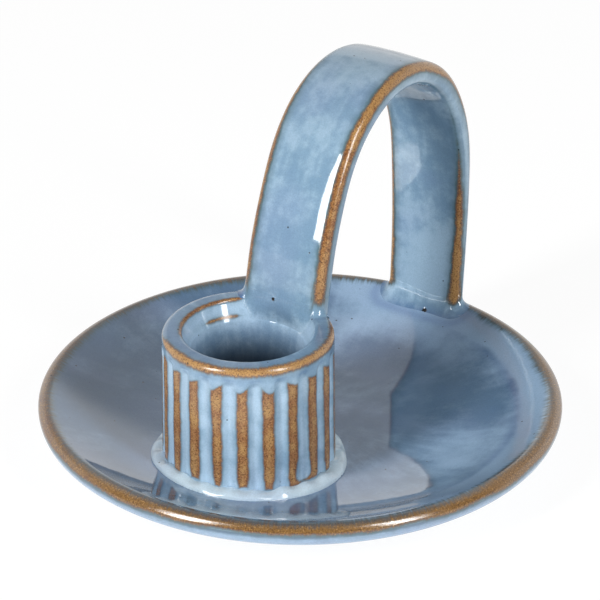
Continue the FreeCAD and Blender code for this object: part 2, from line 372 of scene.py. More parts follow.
@dataclass(frozen=True)
class ReactiveGlaze:
    """Glossy stoneware glaze, dipped and fired: blue where it lies thick, brown where it runs thin.

    It gives the eye a deep wet gloss over clouded blue, crisp grainy amber lines along every edge, grey-green
    borders between the two, small iron specks and a few pinholes.
    """

    name: str
    blue: str = "#7695ad"
    pale: str = "#97b2c6"
    deep: str = "#52719a"
    border: str = "#4f666b"
    lavender: str = "#8b9cc2"
    amber: str = "#845631"
    gold: str = "#a67d4c"
    umber: str = "#40271a"
    rust: str = "#6a3a20"
    sand: str = "#cfa56c"
    # Dark slate that stands in for shade, laid on by the field of painted shade
    dark: str = "#1d2836"
    iron: str = "#1e1c1b"

    # Sizes of the patterns in the glaze
    cloud_size: float = 13.0 * MM
    mottle_size: float = 3.4 * MM
    ragged_size: float = 1.5 * MM
    streak_width: float = 0.55 * MM
    run_width: float = 2.2 * MM
    grain_size: float = 0.34 * MM
    speck_spacing: float = 3.2 * MM
    swell_size: float = 3.2 * MM
    relief: float = 0.012 * MM

    # Torn edge between blue and brown: how far each noise moves it, and how soft it is
    ragged_reach: float = 0.45
    bite_reach: float = 0.35
    streak_softness: float = 0.5
    edge_softness: float = 0.16
    border_width: float = 0.6
    border_end: float = 0.1

    # Blue body: how far each noise moves it, and where it turns pale, deep, lavender and grey-green. A span
    # is the value where a colour starts, the value where it is full, and how much of it there is then
    middle_depth: float = 0.55
    mottle_reach: float = 0.9
    cloud_reach: float = 1.1
    run_reach: float = 0.5
    pale_span: Span = (0.45, 0.95, 1.0)
    deep_span: Span = (-0.55, 0.35, 0.6)
    pool_strength: float = 0.8
    lavender_span: Span = (0.45, 0.68, 0.22)
    fleck_grain: tuple[float, float] = (0.3, 0.7)
    fleck_range: tuple[float, float] = (0.90, 1.08)
    shade_reach: float = 3.2
    shade_start: float = 1.3
    shade_end: float = 0.2
    shade_strength: float = 0.55
    border_strength: float = 0.6

    # Brown break: where it turns golden, rusty, dark-grained and sandy
    tone_gold: float = 0.8
    core_span: Span = (0.4, 1.3, 0.14)
    gold_span: Span = (0.42, 0.72, 1.0)
    rust_span: Span = (0.55, 0.05, 0.65)
    umber_span: Span = (0.48, 0.33, 0.8)
    sand_span: Span = (0.56, 0.72, 0.55)

    # Iron specks and pinholes: a pinhole is its place and its radius
    speck_chance: float = 0.30
    speck_reach: float = 0.085
    speck_span: Span = (-0.01, 0.02, 0.85)
    pinholes: tuple[Pinhole, ...] = ()
    pinhole_core: float = 0.6
    pinhole_depth: float = 8.0

    # Gloss and relief
    roughness: float = 0.05
    brown_roughness: float = 0.17
    refraction: float = 1.55
    sandy_height: float = 2.2
    pit_height: float = -1.2

    def material(self) -> bpy.types.Material:
        """Builds the glaze on the piece's thin, ragged, pool, tone and flow fields, darkened by its field of
        painted shade.

        Returns:
            The material.
        """
        made = bpy.data.materials.new(self.name)
        add = empty_tree(made)
        place = add("TexCoord", output="Object")
        painted = {
            key: add("Attribute", attribute_name=key, output="Fac")
            for key in ("thin", "ragged", "pool", "tone")
        }
        painted["flow"] = add("Attribute", attribute_name="flow", output="Vector")
        noise = self.noises(add, place, painted["flow"])
        torn, brown, border = self.torn_edge(add, noise, painted)
        body = self.blue_body(add, noise, painted, torn, border)
        broken = self.brown_break(add, noise, painted["tone"], torn)
        colour = add("Mix", {0: brown, 6: body, 7: broken}, **COLOURS)
        # Painted shade: the colour is mixed towards the dark slate as far as the field of painted shade
        # reaches
        dim = add("Attribute", attribute_name="dim", output="Fac")
        colour = add("Mix", {0: dim, 6: colour, 7: linear(self.dark)}, **COLOURS)
        colour, pits = self.specks(add, place, colour)

        # Gloss: a wet surface with a faint swell, a little rougher and sandy where it is brown
        gloss = add("MapRange", {0: brown, 3: self.roughness, 4: self.brown_roughness})
        swell = add("TexNoise", {"Vector": place, "Scale": 1 / self.swell_size, "Detail": 1.0})
        sandy = add("Math", {0: noise["grain"], 1: brown}, operation="MULTIPLY")
        height = add("Math", {0: sandy, 1: self.sandy_height, 2: swell}, operation="MULTIPLY_ADD")
        height = add("Math", {0: pits, 1: self.pit_height, 2: height}, operation="MULTIPLY_ADD")
        normal = add("Bump", {"Height": height, "Distance": self.relief, "Strength": 1.0})
        shader = add(
            "BsdfPrincipled",
            {"Base Color": colour, "Roughness": gloss, "Normal": normal, "IOR": self.refraction}
        )
        add("OutputMaterial", {"Surface": shader})
        return made

    def noises(self, add: AddNode, place: Socket, flow: Socket) -> dict[str, Socket]:
        """Makes the noises that the glaze is clouded, torn and grained by.

        Args:
            add: adds a node to the material.
            place: place on the object.
            flow: place in the flow field, along which the glaze ran.

        Returns:
            The noises by name, from the clouds down to the grain, and the hue's colour noise.
        """
        kinds = {
            "cloud": (place, self.cloud_size, {"Detail": 3.0}),
            "mottle": (place, self.mottle_size, {"Detail": 6.0, "Roughness": 0.62}),
            "tear": (place, self.ragged_size, {"Detail": 5.0, "Roughness": 0.6}),
            "streak": (flow, self.streak_width, {"Detail": 3.0, "Roughness": 0.55}),
            "grain": (place, self.grain_size, {"Detail": 2.0, "Roughness": 0.7}),
        }
        noise = {
            key: add("TexNoise", {"Vector": vector, "Scale": 1 / size, **more})
            for key, (vector, size, more) in kinds.items()
        }
        hue_inputs = {"Vector": place, "Scale": 0.6 / self.cloud_size, "Detail": 2.0, "Distortion": 0.4}
        noise["hue"] = add("TexNoise", hue_inputs, output=1)
        return noise

    def torn_edge(
        self, add: AddNode, noise: dict[str, Socket], painted: dict[str, Socket]
    ) -> tuple[Socket, Socket, Socket]:
        """Finds where the glaze has broken: the thin field, torn by the tears, streaks and grain.

        Args:
            add: adds a node to the material.
            noise: the noises by name.
            painted: the piece's fields by name.

        Returns:
            The torn field, how far it is brown, and how far it lies in the border beside the brown.
        """
        ragged = painted["ragged"]
        torn = add("Math", {0: noise["tear"], 1: -0.5}, operation="ADD")
        torn = add(
            "Math", {0: torn, 1: self.ragged_reach * 2, 2: painted["thin"]}, operation="MULTIPLY_ADD"
        )
        streaked = add("Math", {0: noise["streak"], 1: -0.5}, operation="ADD")
        streaked = add("Math", {0: streaked, 1: ragged}, operation="MULTIPLY")
        torn = add("Math", {0: torn, 1: streaked}, operation="ADD")
        bitten = add("Math", {0: noise["grain"], 1: -0.5}, operation="ADD")
        torn = add("Math", {0: bitten, 1: self.bite_reach, 2: torn}, operation="MULTIPLY_ADD")
        softness = add(
            "Math", {0: ragged, 1: self.streak_softness, 2: self.edge_softness}, operation="MULTIPLY_ADD"
        )
        start = add("Math", {0: softness, 1: -1.0}, operation="MULTIPLY")
        brown = add("MapRange", {0: torn, 1: start, 2: softness}, **EASED)
        border_start = add("Math", {0: start, 1: -self.border_width}, operation="ADD")
        border = add("MapRange", {0: torn, 1: border_start, 2: self.border_end}, **EASED)
        return torn, brown, border

    def blue_body(
        self, add: AddNode, noise: dict[str, Socket], painted: dict[str, Socket], torn: Socket, border: Socket
    ) -> Socket:
        """Colours the thick glaze: deep where it pools, pale where the tone lifts it, with lavender clouds.

        Args:
            add: adds a node to the material.
            noise: the noises by name.
            painted: the piece's fields by name.
            torn: the torn field, which shades the blue towards the brown.
            border: how far a point lies in the border beside the brown.

        Returns:
            The colour.
        """
        pool = painted["pool"]
        rest = self.middle_depth - self.mottle_reach / 2 - self.cloud_reach / 2
        depth = add("Math", {0: noise["mottle"], 1: self.mottle_reach, 2: rest}, operation="MULTIPLY_ADD")
        depth = add("Math", {0: noise["cloud"], 1: self.cloud_reach, 2: depth}, operation="MULTIPLY_ADD")
        lifted = add("Math", {0: depth, 1: painted["tone"]}, operation="ADD")
        run = add("TexNoise", {"Vector": painted["flow"], "Scale": 1 / self.run_width, "Detail": 4.0})
        run = add("Math", {0: run, 1: self.run_reach, 2: -self.run_reach / 2}, operation="MULTIPLY_ADD")
        lifted = add("Math", {0: lifted, 1: run}, operation="ADD")
        lift = add("MapRange", {0: lifted, **over(*self.pale_span)}, **EASED)
        sunk = add("Math", {0: pool, 1: lifted}, operation="SUBTRACT")
        sink = add("MapRange", {0: sunk, **over(*self.deep_span)}, **EASED)
        sink = add(
            "Math", {0: pool, 1: self.pool_strength, 2: sink}, operation="MULTIPLY_ADD", use_clamp=True
        )
        body = add("Mix", {0: lift, 6: linear(self.blue), 7: linear(self.pale)}, **COLOURS)
        tinted = add("SeparateColor", {0: noise["hue"]}, output=1)
        tint = add("MapRange", {0: tinted, **over(*self.lavender_span)}, **EASED)
        body = add("Mix", {0: tint, 6: body, 7: linear(self.lavender)}, **COLOURS)
        body = add("Mix", {0: sink, 6: body, 7: linear(self.deep)}, **COLOURS)
        fleck_map = dict(zip((1, 2, 3, 4), (*self.fleck_grain, *self.fleck_range)))
        fleck = add("MapRange", {0: noise["grain"], **fleck_map})
        body = add("Mix", {0: 1.0, 6: body, 7: fleck}, blend_type="MULTIPLY", **COLOURS)
        shade_rest = -self.shade_reach * self.shade_start
        far_start = add(
            "Math", {0: noise["mottle"], 1: self.shade_reach, 2: shade_rest}, operation="MULTIPLY_ADD"
        )
        far = add("MapRange", {0: torn, 1: far_start, 2: self.shade_end, 4: self.shade_strength}, **EASED)
        shaded = add(
            "Math", {0: border, 1: self.border_strength, 2: far}, operation="MULTIPLY_ADD", use_clamp=True
        )
        return add("Mix", {0: shaded, 6: body, 7: linear(self.border)}, **COLOURS)

    def brown_break(self, add: AddNode, noise: dict[str, Socket], tone: Socket, torn: Socket) -> Socket:
        """Colours the thin glaze: amber with golden clouds, a rusty margin and dark and sandy grains.

        Args:
            add: adds a node to the material.
            noise: the noises by name.
            tone: the tone field, which turns the amber golden.
            torn: the torn field, which is largest in the middle of the brown.

        Returns:
            The colour.
        """
        golden = add("Math", {0: tone, 1: self.tone_gold, 2: noise["mottle"]}, operation="MULTIPLY_ADD")
        core = add("MapRange", {0: torn, **over(*self.core_span)})
        golden = add("Math", {0: golden, 1: core}, operation="ADD")
        golden = add("MapRange", {0: golden, **over(*self.gold_span)}, **EASED)
        broken = add("Mix", {0: golden, 6: linear(self.amber), 7: linear(self.gold)}, **COLOURS)
        margin = add("MapRange", {0: torn, **over(*self.rust_span)}, **EASED)
        broken = add("Mix", {0: margin, 6: broken, 7: linear(self.rust)}, **COLOURS)
        for span, grain_colour in ((self.umber_span, self.umber), (self.sand_span, self.sand)):
            share = add("MapRange", {0: noise["grain"], **over(*span)})
            broken = add("Mix", {0: share, 6: broken, 7: linear(grain_colour)}, **COLOURS)
        return broken

    def specks(self, add: AddNode, place: Socket, colour: Socket) -> tuple[Socket, Socket]:
        """Lays iron specks in a few cells of a random packing, and pinholes where a bubble burst.

        Args:
            add: adds a node to the material.
            place: place on the object.
            colour: the glaze's colour without them.

        Returns:
            The colour with them, and how deep each point lies in one.
        """
        cells = add("TexVoronoi", {"Vector": place, "Scale": 1 / self.speck_spacing}).node.outputs
        chance = add("SeparateColor", {0: cells["Color"]})
        reach = add("MapRange", {0: chance, 1: self.speck_chance, 2: 1.0, 4: self.speck_reach})
        inside = add("Math", {0: reach, 1: cells["Distance"]}, operation="SUBTRACT")
        pits = add("MapRange", {0: inside, **over(*self.speck_span)})
        colour = add("Mix", {0: pits, 6: colour, 7: linear(self.iron)}, **COLOURS)
        for *centre, radius in self.pinholes:
            away = add("VectorMath", {0: place, 1: centre}, operation="DISTANCE", output="Value")
            hole = add("MapRange", {0: away, 1: radius, 2: self.pinhole_core * radius})
            colour = add("Mix", {0: hole, 6: colour, 7: linear(self.iron)}, **COLOURS)
            pits = add("Math", {0: hole, 1: self.pinhole_depth, 2: pits}, operation="MULTIPLY_ADD")
        return colour, pits


@dataclass(frozen=True)
class BareStoneware:
    """Unglazed stoneware, turned and fired: matt, warm grey-brown, with sand and iron grains in it."""

    name: str
    clay: str = "#a98568"
    pale: str = "#c2a184"
    iron: str = "#54402f"
    sand_size: float = 0.4 * MM
    sand_relief: float = 0.08 * MM
    cloud_size: float = 6.0 * MM
    iron_span: Span = (0.36, 0.28, 0.8)
    roughness: float = 0.85
    refraction: float = 1.5

    def material(self) -> bpy.types.Material:
        """Builds the clay's colour from two noises and its tooth from the finer one.

        Returns:
            The material.
        """
        made = bpy.data.materials.new(self.name)
        add = empty_tree(made)
        place = add("TexCoord", output="Object")
        cloud, sand = (
            add("TexNoise", {"Vector": place, "Scale": 1 / size, "Detail": detail})
            for size, detail in ((self.cloud_size, 4.0), (self.sand_size, 2.0))
        )
        colour = add("Mix", {0: cloud, 6: linear(self.clay), 7: linear(self.pale)}, **COLOURS)
        dark = add("MapRange", {0: sand, **over(*self.iron_span)})
        colour = add("Mix", {0: dark, 6: colour, 7: linear(self.iron)}, **COLOURS)
        normal = add("Bump", {"Height": sand, "Distance": self.sand_relief})
        shader = add(
            "BsdfPrincipled",
            {"Base Color": colour, "Normal": normal, "Roughness": self.roughness, "IOR": self.refraction}
        )
        add("OutputMaterial", {"Surface": shader})
        return made


def glaze_fields(shape: tuple[int, int]) -> Fields:
    """Fields of a plain thick glaze: nothing thin, pooled or lifted, no painted shade, and only a little
    ragged.
    """
    return {
        "thin": np.full(shape, -3.0),
        "ragged": np.full(shape, 0.3),
        "pool": np.zeros(shape),
        "tone": np.zeros(shape),
        "dim": np.zeros(shape),
        "flow": np.zeros((*shape, 3)),
    }


class Slope(Enum):
    """How a patch on the dish's bowl changes with the distance from the dish's axis."""

    STEP = "nothing up to its distance, eased to full over its width, and full from there outwards"
    HILL = "full at its distance and fading both ways, as a bell curve of its width"


@dataclass(frozen=True)
class PoolAndPaintedLightPatch:
    """Part of the dish's bowl painted deeper, paler or darker than round it: pooled glaze, painted light and
    painted shade.

    Its key names the field that it adds to. Its angles are in degrees, and soft is the width of the eased
    margin at each.
    """

    key: str
    strength: float
    slope: Slope
    distance: float
    width: float
    start: float
    end: float
    soft: float
    short_of_lip: bool = False

    def weight(self, distance: np.ndarray, degrees: np.ndarray) -> np.ndarray:
        """Works out the patch's strength at each point.

        Args:
            distance: distance of each row from the dish's axis, as a column.
            degrees: angle of each column.

        Returns:
            Strength times the slope's step or bell curve times the window between the two angles.
        """
        beyond = (distance - self.distance) / self.width
        rise = smooth_step(beyond) if self.slope is Slope.STEP else bell(beyond)
        return self.strength * rise * turn_window(degrees, self.start, self.end, self.soft)


@dataclass
class Dish:
    """Thrown dish: a flat middle, a shallow bowl, a rounded lip and a sloping underside."""

    radius: float
    floor_height: float
    lip_top_height: float
    underside_height: float
    floor_radius: float = 24.0 * MM
    underside_radius: float = 44.0 * MM
    lip_top_radius: float = 2.2 * MM
    lip_under_radius: float = 3.8 * MM
    floor_sag: float = 0.10 * MM
    lip_waver: float = 0.08 * MM
    columns: int = 420

    # Brown break on the lip and towards the bare foot
    foot_radius: float = 41.0 * MM
    break_inner_radius: float = 57.5 * MM
    break_outer_rise: float = 0.3 * MM
    break_front_narrowing: float = 1.2 * MM
    narrow_window: Window = (-105.0, -25.0, 40.0)
    lip_ragged: float = 2.6
    plain_ragged: float = 0.5

    # Pool round the strap's rear foot
    foot_pool_half_width: float = 9.0 * MM
    foot_pool_inset: float = 6.0 * MM
    foot_pool_reach: float = 3.6 * MM
    foot_pool_width: float = 1.5 * MM
    foot_pool_strength: float = 0.45

    # Paler glaze outside and on the lip's front
    lip_ease: Ease = (0.6 * MM, 1.2 * MM)
    lip_tone: float = 0.3
    front_window: Window = (-120.0, -8.0, 30.0)
    outside_tone: float = 0.6
    outside_soft: float = 1.5 * MM
    base_tone: float = -0.05
    flow_stretch: float = 0.12

    # Deeper pool of glaze in the crease at the right. The rest is painted light and shade: the right wall,
    # the back and the bowl right of the cup painted paler, as lit or as a sheen of the bright sweep; the near
    # wall painted darker as shade, and a painted shadow of the rear leg beside its foot
    pools_and_painted_light: tuple[PoolAndPaintedLightPatch, ...] = (
        PoolAndPaintedLightPatch("pool", 0.28, Slope.HILL, 49.8 * MM, 1.3 * MM, -12.0, 70.0, 40.0),
        # Painted light: paler right wall, back and right of the bowl
        PoolAndPaintedLightPatch("tone", 0.9, Slope.STEP, 49.8 * MM, 4.0 * MM, -40.0, 100.0, 50.0),
        PoolAndPaintedLightPatch("tone", 0.4, Slope.STEP, 36.0 * MM, 10.0 * MM, 70.0, 112.0, 20.0),
        PoolAndPaintedLightPatch("tone", 0.3, Slope.HILL, 39.0 * MM, 8.0 * MM, -8.0, 26.0, 18.0),
        PoolAndPaintedLightPatch("tone", 0.22, Slope.STEP, 43.0 * MM, 8.0 * MM, -20.0, 62.0, 30.0, short_of_lip=True),
        # Painted shade: darker near wall, and a painted shadow of the rear leg
        PoolAndPaintedLightPatch("dim", 0.36, Slope.STEP, 44.0 * MM, 6.0 * MM, -120.0, -8.0, 30.0, short_of_lip=True),
        PoolAndPaintedLightPatch("dim", 0.3, Slope.HILL, 39.0 * MM, 8.0 * MM, 52.0, 80.0, 20.0),
    )
    profile: np.ndarray = field(init=False)

    def __post_init__(self) -> None:
        """Works out the half section once, for the mesh and for what stands on the dish."""
        self.profile = self.half_section()

    @property
    def lip_height(self) -> float:
        """Height of the lip's widest line."""
        return self.lip_top_height - self.lip_top_radius

    def half_section(self) -> np.ndarray:
        """Half section from the middle of the floor, over the lip, to the middle of the underside.

        The middle sags very slightly. The bowl is one hollow arc that touches it and the lip's upper
        arc, and a straight line touches the lip's lower arc and ends at the underside's corner.

        Returns:
            Points as distance from the axis and height.
        """
        lip_middle = self.radius - self.lip_top_radius
        across = lip_middle - self.floor_radius
        drop = self.lip_height - self.floor_height
        wall_radius = across ** 2 + drop ** 2 - self.lip_top_radius ** 2
        wall_radius /= 2 * (drop + self.lip_top_radius)
        wall_middle = (self.floor_radius, self.floor_height + wall_radius)
        wall_turn = math.degrees(math.atan2(self.lip_height - wall_middle[1], across))
        under_middle = (self.radius - self.lip_under_radius, self.lip_height)
        reach = (self.underside_radius - under_middle[0], self.underside_height - under_middle[1])
        under_turn = math.degrees(math.atan2(reach[1], reach[0]))
        under_turn += math.degrees(math.acos(self.lip_under_radius / math.hypot(*reach)))
        corner = (self.underside_radius, self.underside_height)
        floor = run_points((0.0, self.floor_height), (self.floor_radius, self.floor_height), 25)
        wall = arc_points(wall_middle, wall_radius, -90.0, wall_turn, 90)
        sag_share = 1.0 - (floor[:, 0] / self.floor_radius) ** 2
        floor[:, 1] -= self.floor_sag * sag_share ** 2
        lip = arc_points((lip_middle, self.lip_height), self.lip_top_radius, wall_turn + 180.0, 0.0, 36)
        under = arc_points(under_middle, self.lip_under_radius, 0.0, under_turn, 24)
        slope = run_points(tuple(under[-1]), corner, 24)
        base = run_points(corner, (0.0, self.underside_height), 10)
        return chain(floor, wall, lip, under, slope, base)

    def upper_height(self, distance: np.ndarray) -> np.ndarray:
        """Height of the dish's upper surface at a distance from its axis, read off the half section."""
        top = self.profile[: int(np.argmax(self.profile[:, 0])) + 1]
        return np.interp(distance, top[:, 0], top[:, 1])

    def build(self) -> bpy.types.Object:
        """Turns the half section about the axis, with a slight waver of the lip, and paints its fields.

        Returns:
            The dish.
        """
        turn = np.linspace(0.0, FULL_TURN, self.columns, endpoint=False)
        distance = self.profile[:, 0][:, None]
        height = self.profile[:, 1][:, None]
        rim_share = smooth_step((distance - self.floor_radius) / (self.radius - self.floor_radius))
        waver = wander(turn, 11, 4, self.lip_waver) - self.lip_waver
        across = distance + rim_share * np.minimum(waver, 0.0)
        return skin("dish_glazed", turned(across, height, turn), Edge.POINT, self.paint(turn))

    def paint(self, turn: np.ndarray) -> Fields:
        """Says where the dish's glaze is thin, ragged, pooled and lifted, and where light and shade are
        painted on it.

        Args:
            turn: the columns' angles in radians.

        Returns:
            The glaze's fields, rows by columns.
        """
        distance = self.profile[:, 0]
        along = lengths_along(self.profile)
        widest = int(np.argmax(distance))
        rows = np.arange(len(along))
        inside = (rows < widest)[:, None]
        degrees = np.degrees(turn)
        fields = glaze_fields((len(along), len(turn)))

        # Brown lip, narrower at the front, and brown towards the bare foot
        inner = np.interp(self.break_inner_radius, distance[: widest + 1], along[: widest + 1])
        outer = along[widest] - self.break_outer_rise
        narrowing = self.break_front_narrowing * turn_window(degrees, *self.narrow_window)
        inner_edge = (along - inner)[:, None] + wander(turn, 21, 14, 0.25 * MM, 2) - narrowing
        outer_edge = (outer - along)[:, None] + wander(turn, 22, 24, 0.18 * MM, 3)
        bare_foot = np.where(rows > widest, self.foot_radius - distance, -1.0)[:, None]
        fields["thin"] = np.maximum(np.minimum(inner_edge, outer_edge), bare_foot) / MM
        fields["ragged"] = np.where(inside & (inner_edge < outer_edge), self.lip_ragged, self.plain_ragged)

        # Paler outside and on the lip's front, and a pool round the strap's rear foot
        column = distance[:, None]
        past_break = column - self.break_inner_radius - narrowing
        lip = eased(past_break, self.lip_ease) * inside
        outside = smooth_step((along - along[widest]) / self.outside_soft)[:, None]
        front = turn_window(degrees, *self.front_window)
        fields["tone"] += self.outside_tone * outside + self.lip_tone * lip * front + self.base_tone
        beside = np.maximum(np.abs(column * np.cos(turn)) - self.foot_pool_half_width, 0.0)
        before = np.maximum(self.radius - self.foot_pool_inset - column * np.sin(turn), 0.0)
        from_pool = (np.hypot(beside, before) - self.foot_pool_reach) / self.foot_pool_width
        fields["pool"] += self.foot_pool_strength * bell(from_pool) * inside
        # Pool in the crease, and painted light and painted shade on the bowl
        for patch in self.pools_and_painted_light:
            kept = inside * (1.0 - lip) if patch.short_of_lip else inside
            fields[patch.key] += patch.weight(column, degrees) * kept
        fields["flow"] = turned(self.radius, self.flow_stretch * along[:, None], turn)
        return fields


@dataclass
class FootRing:
    """Bare ring that the dish stands on, with its corners softened by the sponge."""

    radius: float
    height: float
    width: float = 4.5 * MM
    corner: float = 0.7 * MM
    columns: int = 240

    def build(self) -> bpy.types.Object:
        """Turns a rectangle with rounded lower corners about the axis.

        Returns:
            The ring.
        """
        inner = self.radius - self.width
        section = np.concatenate([
            run_points((self.radius, self.height), (self.radius, self.corner), 6)[:-1],
            arc_points((self.radius - self.corner, self.corner), self.corner, 0.0, -90.0, 8),
            arc_points((inner + self.corner, self.corner), self.corner, -90.0, -180.0, 8),
            run_points((inner, self.corner), (inner, self.height), 6)[1:],
        ])
        turn = np.linspace(0.0, FULL_TURN, self.columns, endpoint=False)
        distance = section[:, 0][:, None]
        height = section[:, 1][:, None]
        return skin("foot_ring_bare", turned(distance, height, turn), Edge.JOINED, {})


@dataclass(frozen=True)
class BrownLine:
    """Brown line round the cup's rim or ledge, wider within a window of angles than elsewhere.

    The window is its first angle, its last angle and the width of its eased margins, in degrees.
    """

    gain: float
    loss: float
    window: Window

    def half_width(self, degrees: np.ndarray) -> np.ndarray:
        """Half width at each angle: the gain within the window, less the loss."""
        return self.gain * turn_window(degrees, *self.window) - self.loss


@dataclass
class CandleCup:
    """Fluted cup with a thick rim, a funnel, a ledge and a blind socket for one candle."""

    dish: Dish
    middle_y: float
    foot_height: float
    rim_height: float
    foot_radius: float = 19.4 * MM
    rim_radius: float = 19.0 * MM
    mouth_radius: float = 14.7 * MM
    outer_edge: float = 1.4 * MM
    inner_edge: float = 0.9 * MM
    inner_setback: float = 0.85
    inner_overlap: float = 0.15
    ledge_radius: float = 13.2 * MM
    ledge_depth: float = 3.8 * MM
    ledge_drop: float = 1.0 * MM
    socket_radius: float = 11.5 * MM
    socket_length: float = 12.0 * MM
    socket_floor: float = 7.5 * MM
    socket_corner: float = 1.0 * MM
    columns_per_flute: int = 22

    # Rows of the half section: where the bore starts, and how many lie from the rim's top to other places
    bore_row: int = 4
    wall_lead_rows: int = 16
    outer_line_rows: int = 17
    inner_line_rows: int = 5

    # Flutes, and how the hand wavers: a size and a count of radians up the wall for each wave
    flute_count: int = 21
    flute_width: float = 3.1 * MM
    flute_depth: float = 0.55 * MM
    flute_top_gap: float = 4.6 * MM
    flute_top_spread: float = 0.18 * MM
    flute_fullness: float = 0.86
    flute_lean: float = 0.10 * MM
    first_flute: float = -51.5
    slow_wave: tuple[float, float] = (0.14 * MM, 4.0)
    quick_wave: tuple[float, float] = (0.08 * MM, 15.0)
    wall_waver: float = 0.05 * MM
    rim_waver: float = 0.07 * MM
    rim_sink: float = 0.1 * MM

    # Brown lands between the flutes, and the drop of blue that ends one flute
    land_width: float = 2.5 * MM
    land_spread: float = 0.12 * MM
    land_top_gap: float = 5.0 * MM
    land_foot_height: float = 2.0 * MM
    drip_width: float = 0.35 * MM
    drip_height: float = 3.0 * MM
    drop_flute: int = 2
    drop_swell: float = 0.55 * MM
    drop_rise: float = 5.5 * MM
    outer_line: BrownLine = BrownLine(1.25 * MM, 0.35 * MM, (-134.0, 48.0, 16.0))
    outer_line_margin: float = 0.15 * MM
    inner_line: BrownLine = BrownLine(1.05 * MM, 0.6 * MM, (128.0, 228.0, 16.0))
    ledge_line: BrownLine = BrownLine(0.9 * MM, 0.6 * MM, (132.0, 170.0, 14.0))
    line_ragged: float = 0.8
    plain_ragged: float = 0.25
    line_soft: float = 1.0 * MM

    # Strengths of the pools, the painted shadow in the bore, the funnel's painted light, and paler and golden
    # parts
    flute_top_pool: float = 0.3
    flute_top_reach: float = 0.8 * MM
    rim_pool: float = 0.2
    bore_pool: float = 0.3
    # Painted shadow down the bore, below the ledge
    bore_painted_shadow: float = 0.9
    flute_tone: float = 0.20
    left_flute_tone: float = 0.55
    left_window: Window = (-170.0, -95.0, 40.0)
    # Painted light on the funnel above the ledge
    funnel_painted_light: float = 0.35
    collar_tone: float = -0.12
    golden_tone: float = 0.18
    flow_stretch: float = 0.15

    # Where those start, next to a height, and over how long they ease; and shares of a flute's half width
    rim_ease: Ease = (0.6 * MM, 0.4 * MM)
    funnel_ease: Ease = (4.0 * MM, 3.0 * MM)
    collar_ease: Ease = (1.0 * MM, 1.0 * MM)
    bore_pool_length: float = 20.0 * MM
    shadow_drop: float = 0.8 * MM
    shadow_length: float = 10.0 * MM
    flute_pool_share: float = 1.3
    flute_tone_share: float = 1.2
    profile: np.ndarray = field(init=False)
    turn: np.ndarray = field(init=False)
    aside: np.ndarray = field(init=False)
    number: np.ndarray = field(init=False)

    def __post_init__(self) -> None:
        """Works out the half section, the columns' angles and the flute nearest to each column."""
        self.profile = self.half_section()
        columns = self.flute_count * self.columns_per_flute
        self.turn = np.linspace(0.0, FULL_TURN, columns, endpoint=False)
        self.aside, self.number = self.flute_place(self.turn)

    @property
    def ledge_height(self) -> float:
        """Height of the ledge at the bottom of the funnel."""
        return self.rim_height - self.ledge_depth

    @property
    def pitch(self) -> float:
        """Distance round the rim from one flute's middle to the next."""
        return FULL_TURN / self.flute_count * self.rim_radius

    def half_section(self) -> np.ndarray:
        """Half section from the socket's floor, up the bore, over the rim and down the wall to the base.

        The bore is straight, widens to the ledge, and the funnel is a straight slope. The rim's two edges are
        quarter arcs.

        Returns:
            Points as distance from the cup's axis and height.
        """
        floor = self.foot_height + self.socket_floor
        corner = self.socket_corner
        inner_height = self.rim_height - self.inner_edge
        inner_middle = (self.mouth_radius + self.inner_edge * self.inner_setback, inner_height)
        outer_middle = (self.rim_radius - self.outer_edge, self.rim_height - self.outer_edge)
        funnel_end = (self.mouth_radius - self.inner_overlap * self.inner_edge, inner_height)
        bore_end = (self.socket_radius, floor + self.socket_length)
        step = (self.ledge_radius - self.ledge_drop / 2, self.ledge_height - self.ledge_drop)
        ledge = (self.ledge_radius, self.ledge_height)
        foot = (self.foot_radius, self.foot_height)
        inner = arc_points(inner_middle, self.inner_edge, 180.0, 90.0, 12)
        inner[0] = funnel_end
        outer = arc_points(outer_middle, self.outer_edge, 90.0, 0.0, 16)
        return chain(
            run_points((0.0, floor), (self.socket_radius - corner, floor), 5),
            arc_points((self.socket_radius - corner, floor + corner), corner, -90.0, 0.0, 6),
            run_points((self.socket_radius, floor + corner), bore_end, 8),
            run_points(bore_end, step, 14),
            run_points(step, ledge, 6),
            run_points(ledge, funnel_end, 12),
            inner,
            run_points(tuple(inner[-1]), tuple(outer[0]), 8),
            outer,
            run_points(tuple(outer[-1]), foot, 92),
            run_points(foot, (0.0, self.foot_height), 3),
        )

    def inner_radius(self, height: np.ndarray) -> np.ndarray:
        """Radius of the funnel and the bore at a height, read off the half section."""
        rising = self.profile[self.bore_row: int(np.argmax(self.profile[:, 1]))]
        return np.interp(height, rising[:, 1], rising[:, 0])

    def flute_place(self, turn: np.ndarray) -> tuple[np.ndarray, np.ndarray]:
        """Finds the nearest flute to each angle round the cup.

        Args:
            turn: angles in radians.

        Returns:
            Distance round the wall from the nearest flute's middle, in metres, and that flute's number.
        """
        pitch = 360.0 / self.flute_count
        steps = (np.degrees(turn) - self.first_flute) / pitch
        number = np.round(steps)
        aside = (steps - number) * pitch * math.pi / 180.0 * self.rim_radius
        return aside, number.astype(int) % self.flute_count

